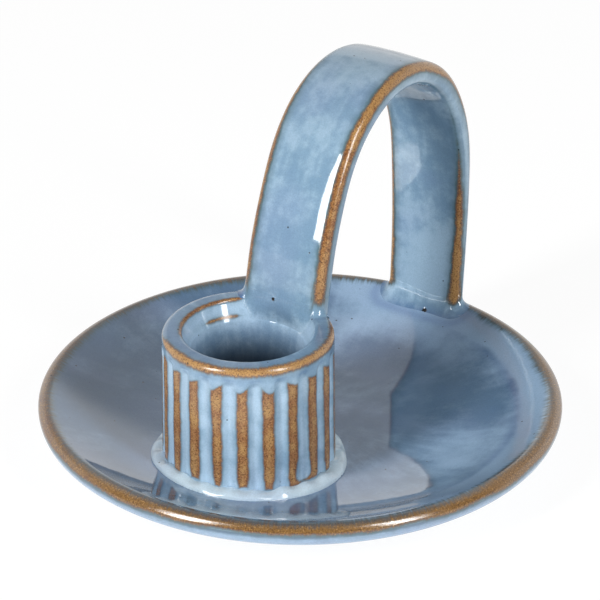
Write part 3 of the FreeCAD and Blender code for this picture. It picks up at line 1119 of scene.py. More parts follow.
    def build(self) -> bpy.types.Object:
        """Turns the half section about the cup's axis and presses the flutes into its wall.

        A flute is a round-ended trough: its depth eases off with the distance from a line up the wall that
        ends below the collar. Each flute wavers a little from side to side.

        Returns:
            The cup.
        """
        turn = self.turn
        distance = self.profile[:, 0][:, None]
        height = self.profile[:, 1][:, None]
        wall_top = int(np.argmax(self.profile[:, 0] * (self.profile[:, 1] > self.ledge_height)))
        over_foot = height > self.foot_height + 0.01 * MM
        wall = (np.arange(len(distance)) > wall_top - self.wall_lead_rows)[:, None] & over_foot
        draw = np.random.default_rng(41)
        top_lift = draw.normal(0.0, self.flute_top_spread, self.flute_count)[self.number]
        above = np.maximum(height - (self.rim_height - self.flute_top_gap + top_lift), 0.0)
        away = np.hypot(self.from_flute(height), above) / (self.flute_width / 2)
        trough = self.flute_depth * (1.0 - smooth_step(away * self.flute_fullness))
        fill = self.wall_waver * wander(turn, 43, 9, 1.0)
        across = distance - np.where(wall, trough, 0.0) + np.where(wall, fill, 0.0)
        rim_share = smooth_step((height - self.ledge_height) / self.ledge_depth)
        lift = rim_share * (wander(turn, 44, 3, self.rim_waver) - self.rim_sink)
        grid = turned(across, height + lift, turn, self.middle_y)
        return skin("candle_cup_fluted", grid, Edge.POINT, self.paint())

    def from_flute(self, height: np.ndarray) -> np.ndarray:
        """Distance round the wall from the nearest flute's middle.

        Each flute wavers sideways by two sine waves up the wall with seeded phases, and by a seeded lean.

        Args:
            height: height of each row, as a column.

        Returns:
            Distance in metres, rows by columns.
        """
        draw = np.random.default_rng(42)
        phase = draw.uniform(0.0, FULL_TURN, (2, self.flute_count))[:, self.number]
        lean = draw.normal(0.0, self.flute_lean, self.flute_count)[self.number]
        up = (height - self.foot_height) / (self.rim_height - self.foot_height)
        slow, quick = (
            size * np.sin(rate * up + start)
            for (size, rate), start in zip((self.slow_wave, self.quick_wave), phase)
        )
        return self.aside + (slow + quick + lean * (up - 0.5) * 2.0)

    def lands(self) -> np.ndarray:
        """Works out how far inside a brown land each point lies.

        It is the least of the distances to the land's two sides, its top and its foot. The lands narrow to
        drips at their foot, and beside one flute a drop of blue swells into them.

        Returns:
            Distance in metres, rows by columns, negative outside the lands.
        """
        height = self.profile[:, 1][:, None]
        draw = np.random.default_rng(51)
        half_land = self.land_width / 2 + draw.normal(0.0, self.land_spread, self.flute_count)[self.number]
        from_flute = self.from_flute(height)
        turn = self.turn
        side = half_land - (self.pitch / 2 - np.abs(from_flute))
        top = self.rim_height - self.land_top_gap + wander(turn, 52, 16, 0.42 * MM, 6)
        front = np.hypot(self.foot_radius * np.cos(turn), self.middle_y + self.foot_radius * np.sin(turn))
        foot = self.dish.upper_height(front) + self.land_foot_height + wander(turn, 53, 12, 0.22 * MM, 6)
        side = side - self.drip_width * smooth_step(1.0 - (height - foot) / self.drip_height)
        blue_half = self.pitch / 2 - half_land
        drop_middle = foot + blue_half + self.drop_swell
        swell = self.drop_swell * smooth_step(1.0 - np.abs(height - drop_middle) / self.drop_rise)
        below_drop = np.minimum(height - drop_middle, 0.0)
        drop_side = np.hypot(from_flute, below_drop) - blue_half - swell
        side = np.where(self.number == self.drop_flute, drop_side, side)
        return np.minimum(side, np.minimum(top - height, height - foot))

    def paint(self) -> Fields:
        """Says where the cup's glaze is thin, ragged, pooled and lifted, and where light and shade are
        painted on it.

        It is thin on the lands between the flutes and along the rim's outer edge, its inner edge and the
        ledge.
        It pools at the flutes' tops and is lifted in the flutes; the funnel has painted light, the bore
        painted shadow.

        Returns:
            The glaze's fields, rows by columns.
        """
        along = lengths_along(self.profile)
        height = self.profile[:, 1][:, None]
        turn, degrees = self.turn, np.degrees(self.turn)
        rows = np.arange(len(along))
        top_row = int(np.argmax(self.profile[:, 1]))
        outside = (rows > top_row)[:, None]
        fields = glaze_fields((len(along), len(turn)))

        # Brown lands and lines
        land = np.where(outside, self.lands(), -3.0 * MM)
        ledge_row = int(np.argmin(np.abs(self.profile[:, 1] - self.ledge_height) + (rows > top_row)))
        from_outer, from_inner, from_ledge = (
            np.abs(along - along[row])[:, None]
            for row in (top_row + self.outer_line_rows, top_row - self.inner_line_rows, ledge_row)
        )
        outer_half = self.outer_line.half_width(degrees) + wander(turn, 54, 16, 0.09 * MM, 3)
        outer_band = outer_half + self.outer_line_margin - from_outer
        inner_band = self.inner_line.half_width(degrees) - from_inner
        ledge_band = self.ledge_line.half_width(degrees) - from_ledge
        thin = np.maximum(np.maximum(land, outer_band), np.maximum(inner_band, ledge_band))
        fields["thin"] = thin / MM
        fields["ragged"] = np.where(np.abs(outer_band) < self.line_soft, self.line_ragged, self.plain_ragged)

        # Pools, painted shadow in the bore, painted light in the funnel, and paler or golden parts
        flute_top = self.rim_height - self.flute_top_gap + self.flute_width / 2
        from_middle = np.abs(self.aside) / (self.flute_width / 2)
        near_top = bell((height - flute_top) / self.flute_top_reach)
        near_top = near_top * smooth_step(self.flute_pool_share - from_middle)
        rim_flat = eased(height - self.rim_height, self.rim_ease)
        depth = smooth_step((self.rim_height - height) / self.bore_pool_length) * ~outside
        # Painted shadow: the bore below the ledge is darkened towards the dark slate
        below = smooth_step((self.ledge_height - self.shadow_drop - height) / self.shadow_length) * ~outside
        fields["dim"] += self.bore_painted_shadow * below
        pool = np.where(outside, self.flute_top_pool * near_top, 0.0)
        fields["pool"] = pool + self.rim_pool * rim_flat + self.bore_pool * depth
        # Painted light: the funnel above the ledge is painted paler, as lit
        funnel = eased(height - self.ledge_height, self.funnel_ease) * ~outside * (1.0 - rim_flat)
        in_flute = smooth_step(self.flute_tone_share - from_middle) * (height < flute_top) * outside
        left = turn_window(degrees, *self.left_window)
        collar = outside * eased(height - flute_top, self.collar_ease)
        golden = smooth_step(1.0 + outer_band / self.line_soft) * outside
        tone = in_flute * (self.flute_tone + self.left_flute_tone * left) + self.funnel_painted_light * funnel
        fields["tone"] = tone + self.collar_tone * collar * (1.0 - golden) + self.golden_tone * golden
        fields["flow"] = turned(self.rim_radius, self.flow_stretch * along[:, None], turn)
        return fields


@dataclass
class FootCoil:
    """Coil of clay pressed round the cup's foot, under a thick bead of pale glaze."""

    dish: Dish
    cup: CandleCup
    width: float = 2.8 * MM
    height: float = 1.8 * MM
    flute_swell: float = 0.13
    fullness: float = 0.9
    wall_overlap: float = 0.2 * MM
    toe_depth: float = 0.15 * MM
    wall_depth: float = 1.5 * MM
    skirt_inset: float = 0.3 * MM
    back_drops: tuple[float, float, float] = (0.7 * MM, 0.5 * MM, 0.6 * MM)
    tone: float = 0.7
    columns: int = 420
    rows: int = 24

    def build(self) -> bpy.types.Object:
        """Lays a quarter round about the cup's axis, on the dish's bowl and against the cup's wall.

        Its foot follows the bowl, and its top stands over the bowl by its height. Its width and height waver
        round the cup, it swells at each flute, and its back runs inside the wall and the bowl.

        Returns:
            The bead.
        """
        turn = np.linspace(0.0, FULL_TURN, self.columns, endpoint=False)
        lean = np.radians(np.linspace(90.0, 0.0, self.rows))[:, None]
        width = self.width * (1.0 + wander(turn, 61, 9, 0.05))
        aside, _ = self.cup.flute_place(turn)
        swell = self.flute_swell * np.cos(FULL_TURN * aside / self.cup.pitch)
        height = self.height * (1.0 + swell + wander(turn, 62, 14, 0.06))
        foot = self.cup.foot_radius
        across = foot - self.wall_overlap + width * np.cos(lean) ** self.fullness
        up = self.ground(across, turn) + height * np.sin(lean) ** self.fullness
        up = up - self.toe_depth * np.cos(lean)
        deep = np.full_like(turn, foot - self.wall_depth)
        skirt = foot + width - self.skirt_inset
        levels = (self.ground(skirt, turn), self.ground(deep, turn), up[0])
        back = [level - drop for level, drop in zip(levels, self.back_drops)]
        across = np.concatenate([across, np.stack([skirt, deep, deep])])
        up = np.concatenate([up, np.stack(back)])
        fields = glaze_fields(across.shape)
        fields["tone"] += self.tone
        return skin("cup_foot_bead", turned(across, up, turn, self.cup.middle_y), Edge.JOINED, fields)

    def ground(self, across: np.ndarray, turn: np.ndarray) -> np.ndarray:
        """Height of the dish's bowl under a point given by its distance and angle from the cup's axis."""
        distance = np.hypot(across * np.cos(turn), self.cup.middle_y + across * np.sin(turn))
        return self.dish.upper_height(distance)


@dataclass
class HandleStrap:
    """Flat strap bent into the finger loop, with softened corners and slightly crowned faces."""

    front_y: float
    rim_height: float
    rear_y: float
    lip_height: float
    top_height: float
    width: float
    front_thickness: float = 6.4 * MM
    crown_thickness: float = 6.0 * MM
    shoulder_thickness: float = 6.2 * MM
    rear_thickness: float = 4.6 * MM
    thickness_window: int = 41
    corner: float = 1.95 * MM
    face_crown: float = 0.40 * MM
    face_turn: float = 0.035
    width_waver: float = 0.12 * MM
    width_sink: float = 0.10 * MM
    top_margin: float = 0.07 * MM
    start_run: float = 0.4 * MM
    end_run: float = 1.4 * MM

    # Middle line, as shares of the feet's distance and of the crown's height over each foot
    front_leg_shares: tuple[tuple[float, float], ...] = (
        (0.0, 0.0), (0.038, 0.256), (0.103, 0.511), (0.194, 0.749), (0.327, 0.917))
    crown_across_share: float = 0.545
    rear_leg_shares: tuple[tuple[float, float], ...] = (
        (0.828, 0.910), (0.941, 0.788), (1.004, 0.637), (1.019, 0.475), (1.019, 0.306), (1.0, 0.0))
    thickness_shares: tuple[float, ...] = (0.0, 0.42, 0.68, 0.85, 1.0)

    # Counts of points along the strap, round a corner, over a face and over a side
    rows: int = 380
    arc_count: int = 14
    face_count: int = 26
    side_count: int = 6

    # Brown lines of the right outer, left outer, left inner and right inner corner, in millimetres each side
    stations: tuple[float, ...] = (
        0.0, 0.02, 0.045, 0.25, 0.36, 0.46, 0.56, 0.66, 0.80, 0.975, 0.99, 1.0)
    line_half_widths: tuple[tuple[float, ...], ...] = (
        (0.3, 1.0, 1.25, 1.25, 1.25, 1.40, 1.30, 0.8, -0.2, 0.2, -1.0, -1.5),
        (0.1, 0.9, 1.3, 1.2, 0.9, -0.1, -0.6, 0.2, 0.9, 1.1, -0.8, -1.5),
        (-1.5, -1.0, 0.5, 0.6, 0.2, -0.3, 0.2, 0.8, 1.0, 1.6, 0.8, -1.0),
        (-1.5, -1.0, -0.2, -0.3, -0.6, -0.6, -0.8, -0.6, 0.7, 1.5, 1.0, -1.0),
    )
    line_shifts: tuple[float, ...] = (0.0, 0.0, 0.0, 0.7 * MM)
    line_waver: float = 0.12

    # Paler parts, in shares of the strap's length: a bell's middle, width and strength, and on the right side
    # an ease's start, length and strength. The low bell is painted light where the front leg shades the rear
    # leg
    crown_patch: tuple[float, float, float] = (0.42, 0.14, 0.30)
    low_painted_light: tuple[float, float, float] = (0.95, 0.10, 0.40)
    side_patch: tuple[float, float, float] = (0.6, 0.1, 0.35)
    side_inset: float = 2.6 * MM
    side_half_width: float = 1.4 * MM
    side_lead: float = 0.9 * MM
    plain_ragged: float = 0.5
    end_ragged: float = 0.6
    rear_end: Ease = (-0.9, 0.08)
    front_end: Ease = (0.08, 0.06)
    flow_stretch: float = 0.15
    grid: np.ndarray = field(init=False)
    along: np.ndarray = field(init=False)
    round_place: np.ndarray = field(init=False)

    def __post_init__(self) -> None:
        """Works out the strap's surface once, for its mesh and for the clay round its feet."""
        self.grid, self.along, self.round_place = self.surface()

    @property
    def crown_height(self) -> float:
        """Height of the strap's middle line at its crown."""
        return self.top_height - self.crown_thickness / 2 - self.top_margin

    def middle_line(self) -> np.ndarray:
        """Sets out the given points of the middle line in the plane x = 0.

        Returns:
            Points as place along y and height, from the front foot to the rear foot.
        """
        span = self.rear_y - self.front_y
        crown_share = (self.crown_across_share, 1.0)
        front = (self.rim_height, (*self.front_leg_shares, crown_share))
        rear = (self.lip_height, self.rear_leg_shares)
        return np.array([
            (self.front_y + across * span, foot + up * (self.crown_height - foot))
            for foot, shares in (front, rear)
            for across, up in shares
        ])

    @property
    def runs(self) -> tuple[int, int, int, int]:
        """Counts of points on the section's four straight stretches, each after its corner."""
        return (self.face_count, self.side_count, self.face_count, self.side_count)

    def section(self) -> tuple[np.ndarray, np.ndarray, np.ndarray, np.ndarray]:
        """Unit outline of the strap's section, anticlockwise from its right outer corner.

        Straight stretches and quarter arcs take turns. A point is its corner's middle, from -1 to 1 each way,
        plus a unit step out of it.

        Returns:
            Share across, share outward, step across and step outward, one value for each column.
        """
        corner_turns = np.radians(np.arange(self.arc_count) * 90.0 / self.arc_count)
        corners = ((1.0, 1.0, 0.0), (-1.0, 1.0, 90.0), (-1.0, -1.0, 180.0), (1.0, -1.0, 270.0))
        parts = []
        for number, (right, out, start) in enumerate(corners):
            turns = corner_turns + math.radians(start)
            parts.append(as_vectors(right, out, np.cos(turns), np.sin(turns)))
            next_right, next_out, _ = corners[(number + 1) % 4]
            share = np.arange(self.runs[number]) / self.runs[number]
            end_turn = math.radians(start + 90.0)
            parts.append(as_vectors(
                right + (next_right - right) * share, out + (next_out - out) * share,
                math.cos(end_turn), math.sin(end_turn)))
        return tuple(np.concatenate(parts).T)

    def surface(self) -> tuple[np.ndarray, np.ndarray, np.ndarray]:
        """Carries the section along the middle line.

        The middle line is a free-ended cubic spline through its given points, set out by chord length. Each
        section stands square to it and is as thick as the strap is there. The faces fall off by their crown
        towards their sides, with the fourth power of the distance from the middle, and the right half of the
        outer face is turned a little further, as the thumb left it.

        Returns:
            Points, rows by columns by three; distance of each row along the strap from the cup's rim; and
            distance of each column round the section from the right outer corner.
        """
        given = self.middle_line()
        knots = lengths_along(given)
        at = np.linspace(-self.start_run, knots[-1] + self.end_run, self.rows)
        line = natural_spline(knots, given, at)
        heading = np.gradient(line, axis=0)
        heading /= np.linalg.norm(heading, axis=1)[:, None]
        outward = np.stack([-heading[:, 1], heading[:, 0]], axis=-1)
        thick = np.interp(
            np.clip(at / knots[-1], 0.0, 1.0), self.thickness_shares,
            (self.front_thickness, self.crown_thickness, self.shoulder_thickness, self.rear_thickness,
             self.rear_thickness))
        smooth = np.ones(self.thickness_window) / self.thickness_window
        thick = np.convolve(np.pad(thick, self.thickness_window // 2, mode="edge"), smooth, mode="valid")
        right_share, out_share, right_step, out_step = self.section()
        width_waver = wander(at / knots[-1] * math.pi, 71, 5, self.width_waver) - self.width_sink
        half_width = (self.width / 2 + np.minimum(width_waver, 0.0))[:, None]
        half_thick = (thick / 2)[:, None]
        across = right_share * (half_width - self.corner) + self.corner * right_step
        out = out_share * (half_thick - self.corner) + self.corner * out_step
        crowned = self.face_crown * (across / half_width) ** 4 * np.sign(out_share)
        crowned += self.face_turn * np.maximum(across, 0.0) * (out_share > 0.0)
        out = out - crowned * np.abs(out_share)
        placed = line[:, None] + out[..., None] * outward[:, None]
        points = as_vectors(across, placed[..., 0], placed[..., 1])
        middle_row = self.rows // 3
        section_points = np.stack([across[middle_row], out[middle_row]], axis=-1)
        return points, at, lengths_along(section_points)

    def corner_columns(self) -> list[int]:
        """Columns in the middle of the four corners' arcs, from the right outer corner on."""
        starts = [number * self.arc_count + sum(self.runs[:number]) for number in range(4)]
        return [start + self.arc_count // 2 for start in starts]

    def at_row(self, row: np.ndarray) -> np.ndarray:
        """Reads the surface between two rows.

        Args:
            row: fractional row for each column.

        Returns:
            One point for each column, on the straight line between the rows beside it.
        """
        low = np.floor(row).astype(int)
        part = (row - low)[:, None]
        number = np.arange(len(row))
        return self.grid[low, number] * (1 - part) + self.grid[low + 1, number] * part

    def build(self) -> bpy.types.Object:
        """Makes the strap's mesh, with flat ends hidden in the clay.

        Returns:
            The strap.
        """
        return skin("handle_strap_glazed", self.grid, Edge.CAPPED, self.paint())

    def paint(self) -> Fields:
        """Says where the strap's glaze is thin, ragged and lifted, with painted light low on the rear leg.

        Each of the four long corners has a brown line. Its half width is set at a few places along the strap
        and eased between them, and it wavers.

        Returns:
            The glaze's fields, rows by columns.
        """
        fields = glaze_fields(self.grid.shape[:2])
        share = self.along / (self.along[-1] - self.end_run)
        corners = self.round_place[self.corner_columns()]
        whole_round = self.round_place[-1] + (self.round_place[1] - self.round_place[0])
        lines = zip(corners - np.array(self.line_shifts), self.line_half_widths)
        for number, (place, widths) in enumerate(lines):
            half = np.interp(share, self.stations, widths)
            half = half + wander(share * math.pi, 81 + number, 24, self.line_waver, 4)
            away = np.abs((self.round_place - place + whole_round / 2) % whole_round - whole_round / 2)
            fields["thin"] = np.maximum(fields["thin"], half[:, None] - away / MM)
        ends = eased(share, self.rear_end) + eased(-share, self.front_end)
        fields["ragged"][:] = (self.plain_ragged + self.end_ragged * ends)[:, None]
        # Paler crown, and painted light low on the rear leg where the front leg shades it
        crown, low = (
            strength * bell((share - middle) / width)
            for middle, width, strength in (self.crown_patch, self.low_painted_light)
        )
        fields["tone"] += (crown + low)[:, None]
        start, width, strength = self.side_patch
        right_side = np.abs(self.round_place - corners[0] + self.side_inset) < self.side_half_width
        right_side = right_side | (self.round_place > corners[3] + self.side_lead)
        fields["tone"] += strength * smooth_step((share - start) / width)[:, None] * right_side
        fields["flow"] = as_vectors(self.round_place[None, :], 0.0, self.flow_stretch * self.along[:, None])
        return fields


def smear_fields(strap: HandleStrap, top_row: np.ndarray, shape: tuple[int, int]) -> Fields:
    """Fields of smeared clay that start as the strap's own and ease into plain thick glaze.

    Args:
        strap: the strap, whose columns are the smear's columns.
        top_row: the strap's row where each column of the smear starts.
        shape: rows and columns of the smear.

    Returns:
        The glaze's fields, a little more ragged and darker than the strap's.
    """
    ease_end, more_ragged, tone = 1.6, 0.8, -0.08
    painted = strap.paint()
    fields = glaze_fields(shape)
    row = np.clip(np.round(top_row).astype(int), 0, len(strap.along) - 1)
    share = smooth_step(np.linspace(0.0, ease_end, shape[0]))[:, None]
    number = np.arange(shape[1])
    for key in ("thin", "ragged", "pool", "tone", "dim"):
        start = painted[key][row, number][None, :]
        fields[key] = start * (1.0 - share) + fields[key] * share
    fields["ragged"] += more_ragged
    fields["tone"] += tone
    fields["flow"] += painted["flow"][row, number][None]
    return fields


def outward_of(foot: np.ndarray) -> np.ndarray:
    """Finds the level way out of a closed line of points, square to the line.

    Args:
        foot: points in order round the line.

    Returns:
        Unit vectors across and along, away from the line's middle.
    """
    following = np.roll(foot, -1, axis=0) - np.roll(foot, 1, axis=0)
    outward = np.stack([following[:, 1], -following[:, 0]], axis=-1)
    outward /= np.linalg.norm(outward, axis=1)[:, None]
    turned_in = np.sum(outward * (foot - foot.mean(axis=0))[:, :2]) < 0.0
    return -outward if turned_in else outward


def shrunk(foot: np.ndarray, shares: tuple[float, float]) -> np.ndarray:
    """Draws a closed line of points in towards its middle, across and along, at its own height."""
    middle = foot.mean(axis=0)
    return middle + (foot - middle) * np.array([*shares, 1.0])


def at_height(points: np.ndarray, height: Numbers) -> np.ndarray:
    """Copies a line of points to another height.

    Args:
        points: the points, one row each.
        height: new height, one for all or one for each.

    Returns:
        The moved points.
    """
    moved = points.copy()
    moved[:, 2] = height
    return moved


@dataclass
class FrontLuting:
    """Clay smeared round the strap's front foot, over the rim and down into the funnel."""

    strap: HandleStrap
    cup: CandleCup
    spread: float = 1.7 * MM
    rise: float = 3.4 * MM
    web_stand_off: float = 0.55 * MM
    web_drop: float = 5.2 * MM
    web_run: float = 1.8 * MM
    web_ease: float = 2.5 * MM
    web_slope: float = 2.0
    wall_slope: float = 1.5
    mouth_margin: float = 0.3 * MM
    wall_margin: float = 0.5 * MM
    wall_drop: float = 3.2 * MM
    sink: float = 0.1 * MM
    core_shares: tuple[float, float] = (0.75, 0.75)
    core_drop: float = 1.2 * MM
    corner_pool: float = 0.8
    corner_spread: float = 6.0
    # Painted light at the web's end over the funnel
    web_painted_light: float = 0.55
    rows: int = 26

    def build(self) -> bpy.types.Object:
        """Fills the corner between the strap and the rim with a hollow curve.

        Each column is a cubic curve from a point up the strap to a point on the rim, the wall or the funnel.
        On the rim it bends towards where the strap's face meets it. Over the funnel it leaves along the
        strap's face and meets the funnel's wall along the wall.

        Returns:
            The smear of clay, closed behind inside the strap and the rim.
        """
        strap, cup = self.strap, self.cup
        start_row = int(np.argmin(np.abs(strap.along)))
        foot = strap.grid[start_row]
        turn = np.linspace(0.0, FULL_TURN, len(foot), endpoint=False)
        outward = outward_of(foot)

        # Ends of the columns: on the rim's flat, a little down the wall, or deep down the funnel
        spread = self.spread * (1.0 + wander(turn, 92, 5, 0.15))
        axis = np.array([0.0, cup.middle_y])
        from_axis = foot[:, :2] + outward * spread[:, None] - axis
        reach = np.linalg.norm(from_axis, axis=1)
        bearing = from_axis / reach[:, None]
        in_mouth = cup.mouth_radius + self.mouth_margin - reach
        inside = np.clip(in_mouth * self.web_slope, 0.0, self.web_drop)
        past_wall = np.maximum(reach - (cup.rim_radius - self.wall_margin), 0.0)
        end_height = cup.rim_height - inside - np.minimum(past_wall * self.wall_slope, self.wall_drop)
        in_funnel = cup.inner_radius(end_height) + self.sink / 2
        end_reach = np.where(inside > 0.0, in_funnel, np.minimum(reach, cup.rim_radius))
        end_height = end_height - np.where(past_wall > 0.0, 0.0, self.sink)
        end = np.column_stack([axis + bearing * end_reach[:, None], end_height])

        # Starts of the columns up the strap, and the two points that bend each curve: on the rim they lie
        # two thirds of the way to one bend, as a quadratic curve's do
        over_funnel = smooth_step(inside / self.web_ease)[:, None]
        rise = self.rise * (1.0 + wander(turn, 91, 4, 0.12)) * (1.0 - 0.5 * over_funnel[:, 0])
        top_row = start_row + rise / (strap.along[1] - strap.along[0])
        top = strap.at_row(top_row)
        bend = at_height(foot, cup.rim_height + self.sink)
        leave = foot + (foot - top)
        leave[:, :2] += outward * self.web_stand_off
        meet_height = end_height + self.web_run
        meet_reach = cup.inner_radius(meet_height) - self.sink
        meet = np.column_stack([axis + bearing * meet_reach[:, None], meet_height])
        first = leave * over_funnel + (top + (bend - top) * 2 / 3) * (1 - over_funnel)
        second = meet * over_funnel + (end + (bend - end) * 2 / 3) * (1 - over_funnel)

        share = np.linspace(0.0, 1.0, self.rows)[:, None, None]
        curve = top * (1 - share) ** 3 + first * 3 * share * (1 - share) ** 2
        curve = curve + second * 3 * share ** 2 * (1 - share) + end * share ** 3
        core = shrunk(foot, self.core_shares)
        low_core = at_height(core, cup.rim_height - self.core_drop - inside * 0.5)
        grid = np.concatenate([curve, low_core[None], at_height(core, top[:, 2])[None]])
        fields = smear_fields(strap, top_row, grid.shape[:2])
        down = smooth_step(np.linspace(-0.4, 1.2, len(grid)))[:, None]
        left_corner = strap.corner_columns()[1]
        beside_corner = bell((np.arange(len(foot)) - left_corner) / self.corner_spread)
        fields["pool"] += self.corner_pool * down * beside_corner
        # Painted light: the web's end over the funnel is painted paler, like the funnel round it
        fields["tone"] += self.web_painted_light * down * over_funnel[:, 0]
        return skin("handle_cup_smear", grid, Edge.JOINED, fields)


@dataclass
class RearLuting:
    """Clay smeared round the strap's rear foot, on the dish's wall and lip."""

    strap: HandleStrap
    dish: Dish
    spread: float = 3.0 * MM
    rise: float = 4.2 * MM
    lip_margin: float = 0.9 * MM
    sink: float = 0.05 * MM
    core_shares: tuple[float, float] = (0.75, 0.6)
    core_drop: float = 0.8 * MM
    low_tone: float = 0.15
    low_pool: float = 0.5
    rows: int = 22

    def build(self) -> bpy.types.Object:
        """Fills the corner between the strap and the dish with a hollow curve.

        Each column is a quadratic curve from a point up the strap, towards the strap's foot on the dish, to a
        point on the dish's upper surface, no further out than a margin inside the lip.

        Returns:
            The smear of clay, closed behind inside the strap and the dish.
        """
        strap, dish = self.strap, self.dish
        last_row = int(np.argmin(np.abs(strap.along - (strap.along[-1] - strap.end_run))))
        foot = strap.grid[last_row]
        turn = np.linspace(0.0, FULL_TURN, len(foot), endpoint=False)
        rise = self.rise * (1.0 + wander(turn, 95, 4, 0.10))
        top_row = last_row - rise / (strap.along[1] - strap.along[0])
        top = strap.at_row(top_row)
        spread = self.spread * (1.0 + wander(turn, 96, 5, 0.10))
        beside = foot[:, :2] + outward_of(foot) * spread[:, None]
        reach = np.linalg.norm(beside, axis=1)
        held = np.minimum(reach, dish.radius - self.lip_margin)
        beside *= (held / reach)[:, None]
        end = np.column_stack([beside, dish.upper_height(held) - self.sink])
        foot_reach = np.minimum(np.linalg.norm(foot[:, :2], axis=1), dish.radius - self.lip_margin)
        bend = at_height(foot, dish.upper_height(foot_reach) + 2 * self.sink)

        share = np.linspace(0.0, 1.0, self.rows)[:, None, None]
        curve = top * (1 - share) ** 2 + bend * 2 * share * (1 - share) + end * share ** 2
        core = shrunk(foot, self.core_shares)
        low_core = at_height(core, dish.upper_height(np.linalg.norm(core[:, :2], axis=1)) - self.core_drop)
        grid = np.concatenate([curve, low_core[None], at_height(core, top[:, 2])[None]])
        fields = smear_fields(strap, top_row, grid.shape[:2])
        down = smooth_step(np.linspace(-0.2, 1.2, len(grid)))[:, None]
        fields["tone"] += self.low_tone * down
        fields["pool"] += self.low_pool * down ** 2
        return skin("handle_dish_smear", grid, Edge.JOINED, fields)


def direction_at(azimuth: float, elevation: float) -> Vector:
    """Unit vector at an azimuth, counted from -Y towards +X, and an elevation, both in degrees."""
    turn, lift = math.radians(azimuth), math.radians(elevation)
    return Vector((math.sin(turn) * math.cos(lift), -math.cos(turn) * math.cos(lift), math.sin(lift)))


def face_along(thing: bpy.types.Object, direction: Vector) -> None:
    """Turns a camera or a light to look along a direction, with +Z upwards in its view."""
    thing.rotation_mode = "QUATERNION"
    thing.rotation_quaternion = direction.to_track_quat("-Z", "Y")


@dataclass(frozen=True)
class Viewpoint:
    """Camera fitted to the photograph: where it stands, in radii of the dish, and how it is turned."""

    dish_radius: float
    lip_height: float
    azimuth: float = 33.0
    elevation: float = 27.719
    distance_radii: float = 11.480
    right_radii: float = -0.0009
    up_radii: float = 0.3725
    focal_pixels: float = 3000.0
    frame_pixels: float = 600.0
    sensor_width: float = 36.0

    def directions(self) -> tuple[Vector, Vector, Vector]:
        """Finds the camera's axes.

        Returns:
            Unit vectors towards the camera, to its right and up in its picture.
        """
        turn = math.radians(self.azimuth)
        back = direction_at(self.azimuth, self.elevation)
        right = Vector((math.cos(turn), math.sin(turn), 0.0))
        return back, right, back.cross(right)

    def build(self) -> bpy.types.Object:
        """Makes the camera and gives it to the scene.

        Returns:
            The camera.
        """
        back, right, up = self.directions()
        camera = bpy.data.objects.new("camera", bpy.data.cameras.new("camera"))
        camera.data.sensor_width = self.sensor_width
        camera.data.lens = self.sensor_width * self.focal_pixels / self.frame_pixels
        offset = back * self.distance_radii + right * self.right_radii + up * self.up_radii
        camera.location = Vector((0.0, 0.0, self.lip_height)) + offset * self.dish_radius
        face_along(camera, -back)
        bpy.context.collection.objects.link(camera)
        bpy.context.scene.camera = camera
        return camera


@dataclass(frozen=True)
class Softbox:
    """Rectangular studio light that stands off from the object and faces it."""

    name: str
    bearing: float
    elevation: float
    distance: float
    width: float
    height: float
    radiance: float

    def build(self, camera_azimuth: float, aim: Vector) -> bpy.types.Object:
        """Places the light, with its bearing counted to the right from the camera.

        The power is the radiance times pi times the area, as a flat lamp sheds it.

        Args:
            camera_azimuth: the camera's azimuth in degrees.
            aim: the point that the light faces.

        Returns:
            The light.
        """
        away = direction_at(camera_azimuth + self.bearing, self.elevation)
        lamp = bpy.data.lights.new(self.name, "AREA")
        lamp.shape = "RECTANGLE"
        lamp.size = self.width
        lamp.size_y = self.height
        lamp.energy = self.radiance * math.pi * self.width * self.height
        light = bpy.data.objects.new(self.name, lamp)
        light.location = aim + away * self.distance
        face_along(light, -away)
        bpy.context.collection.objects.link(light)
        return light


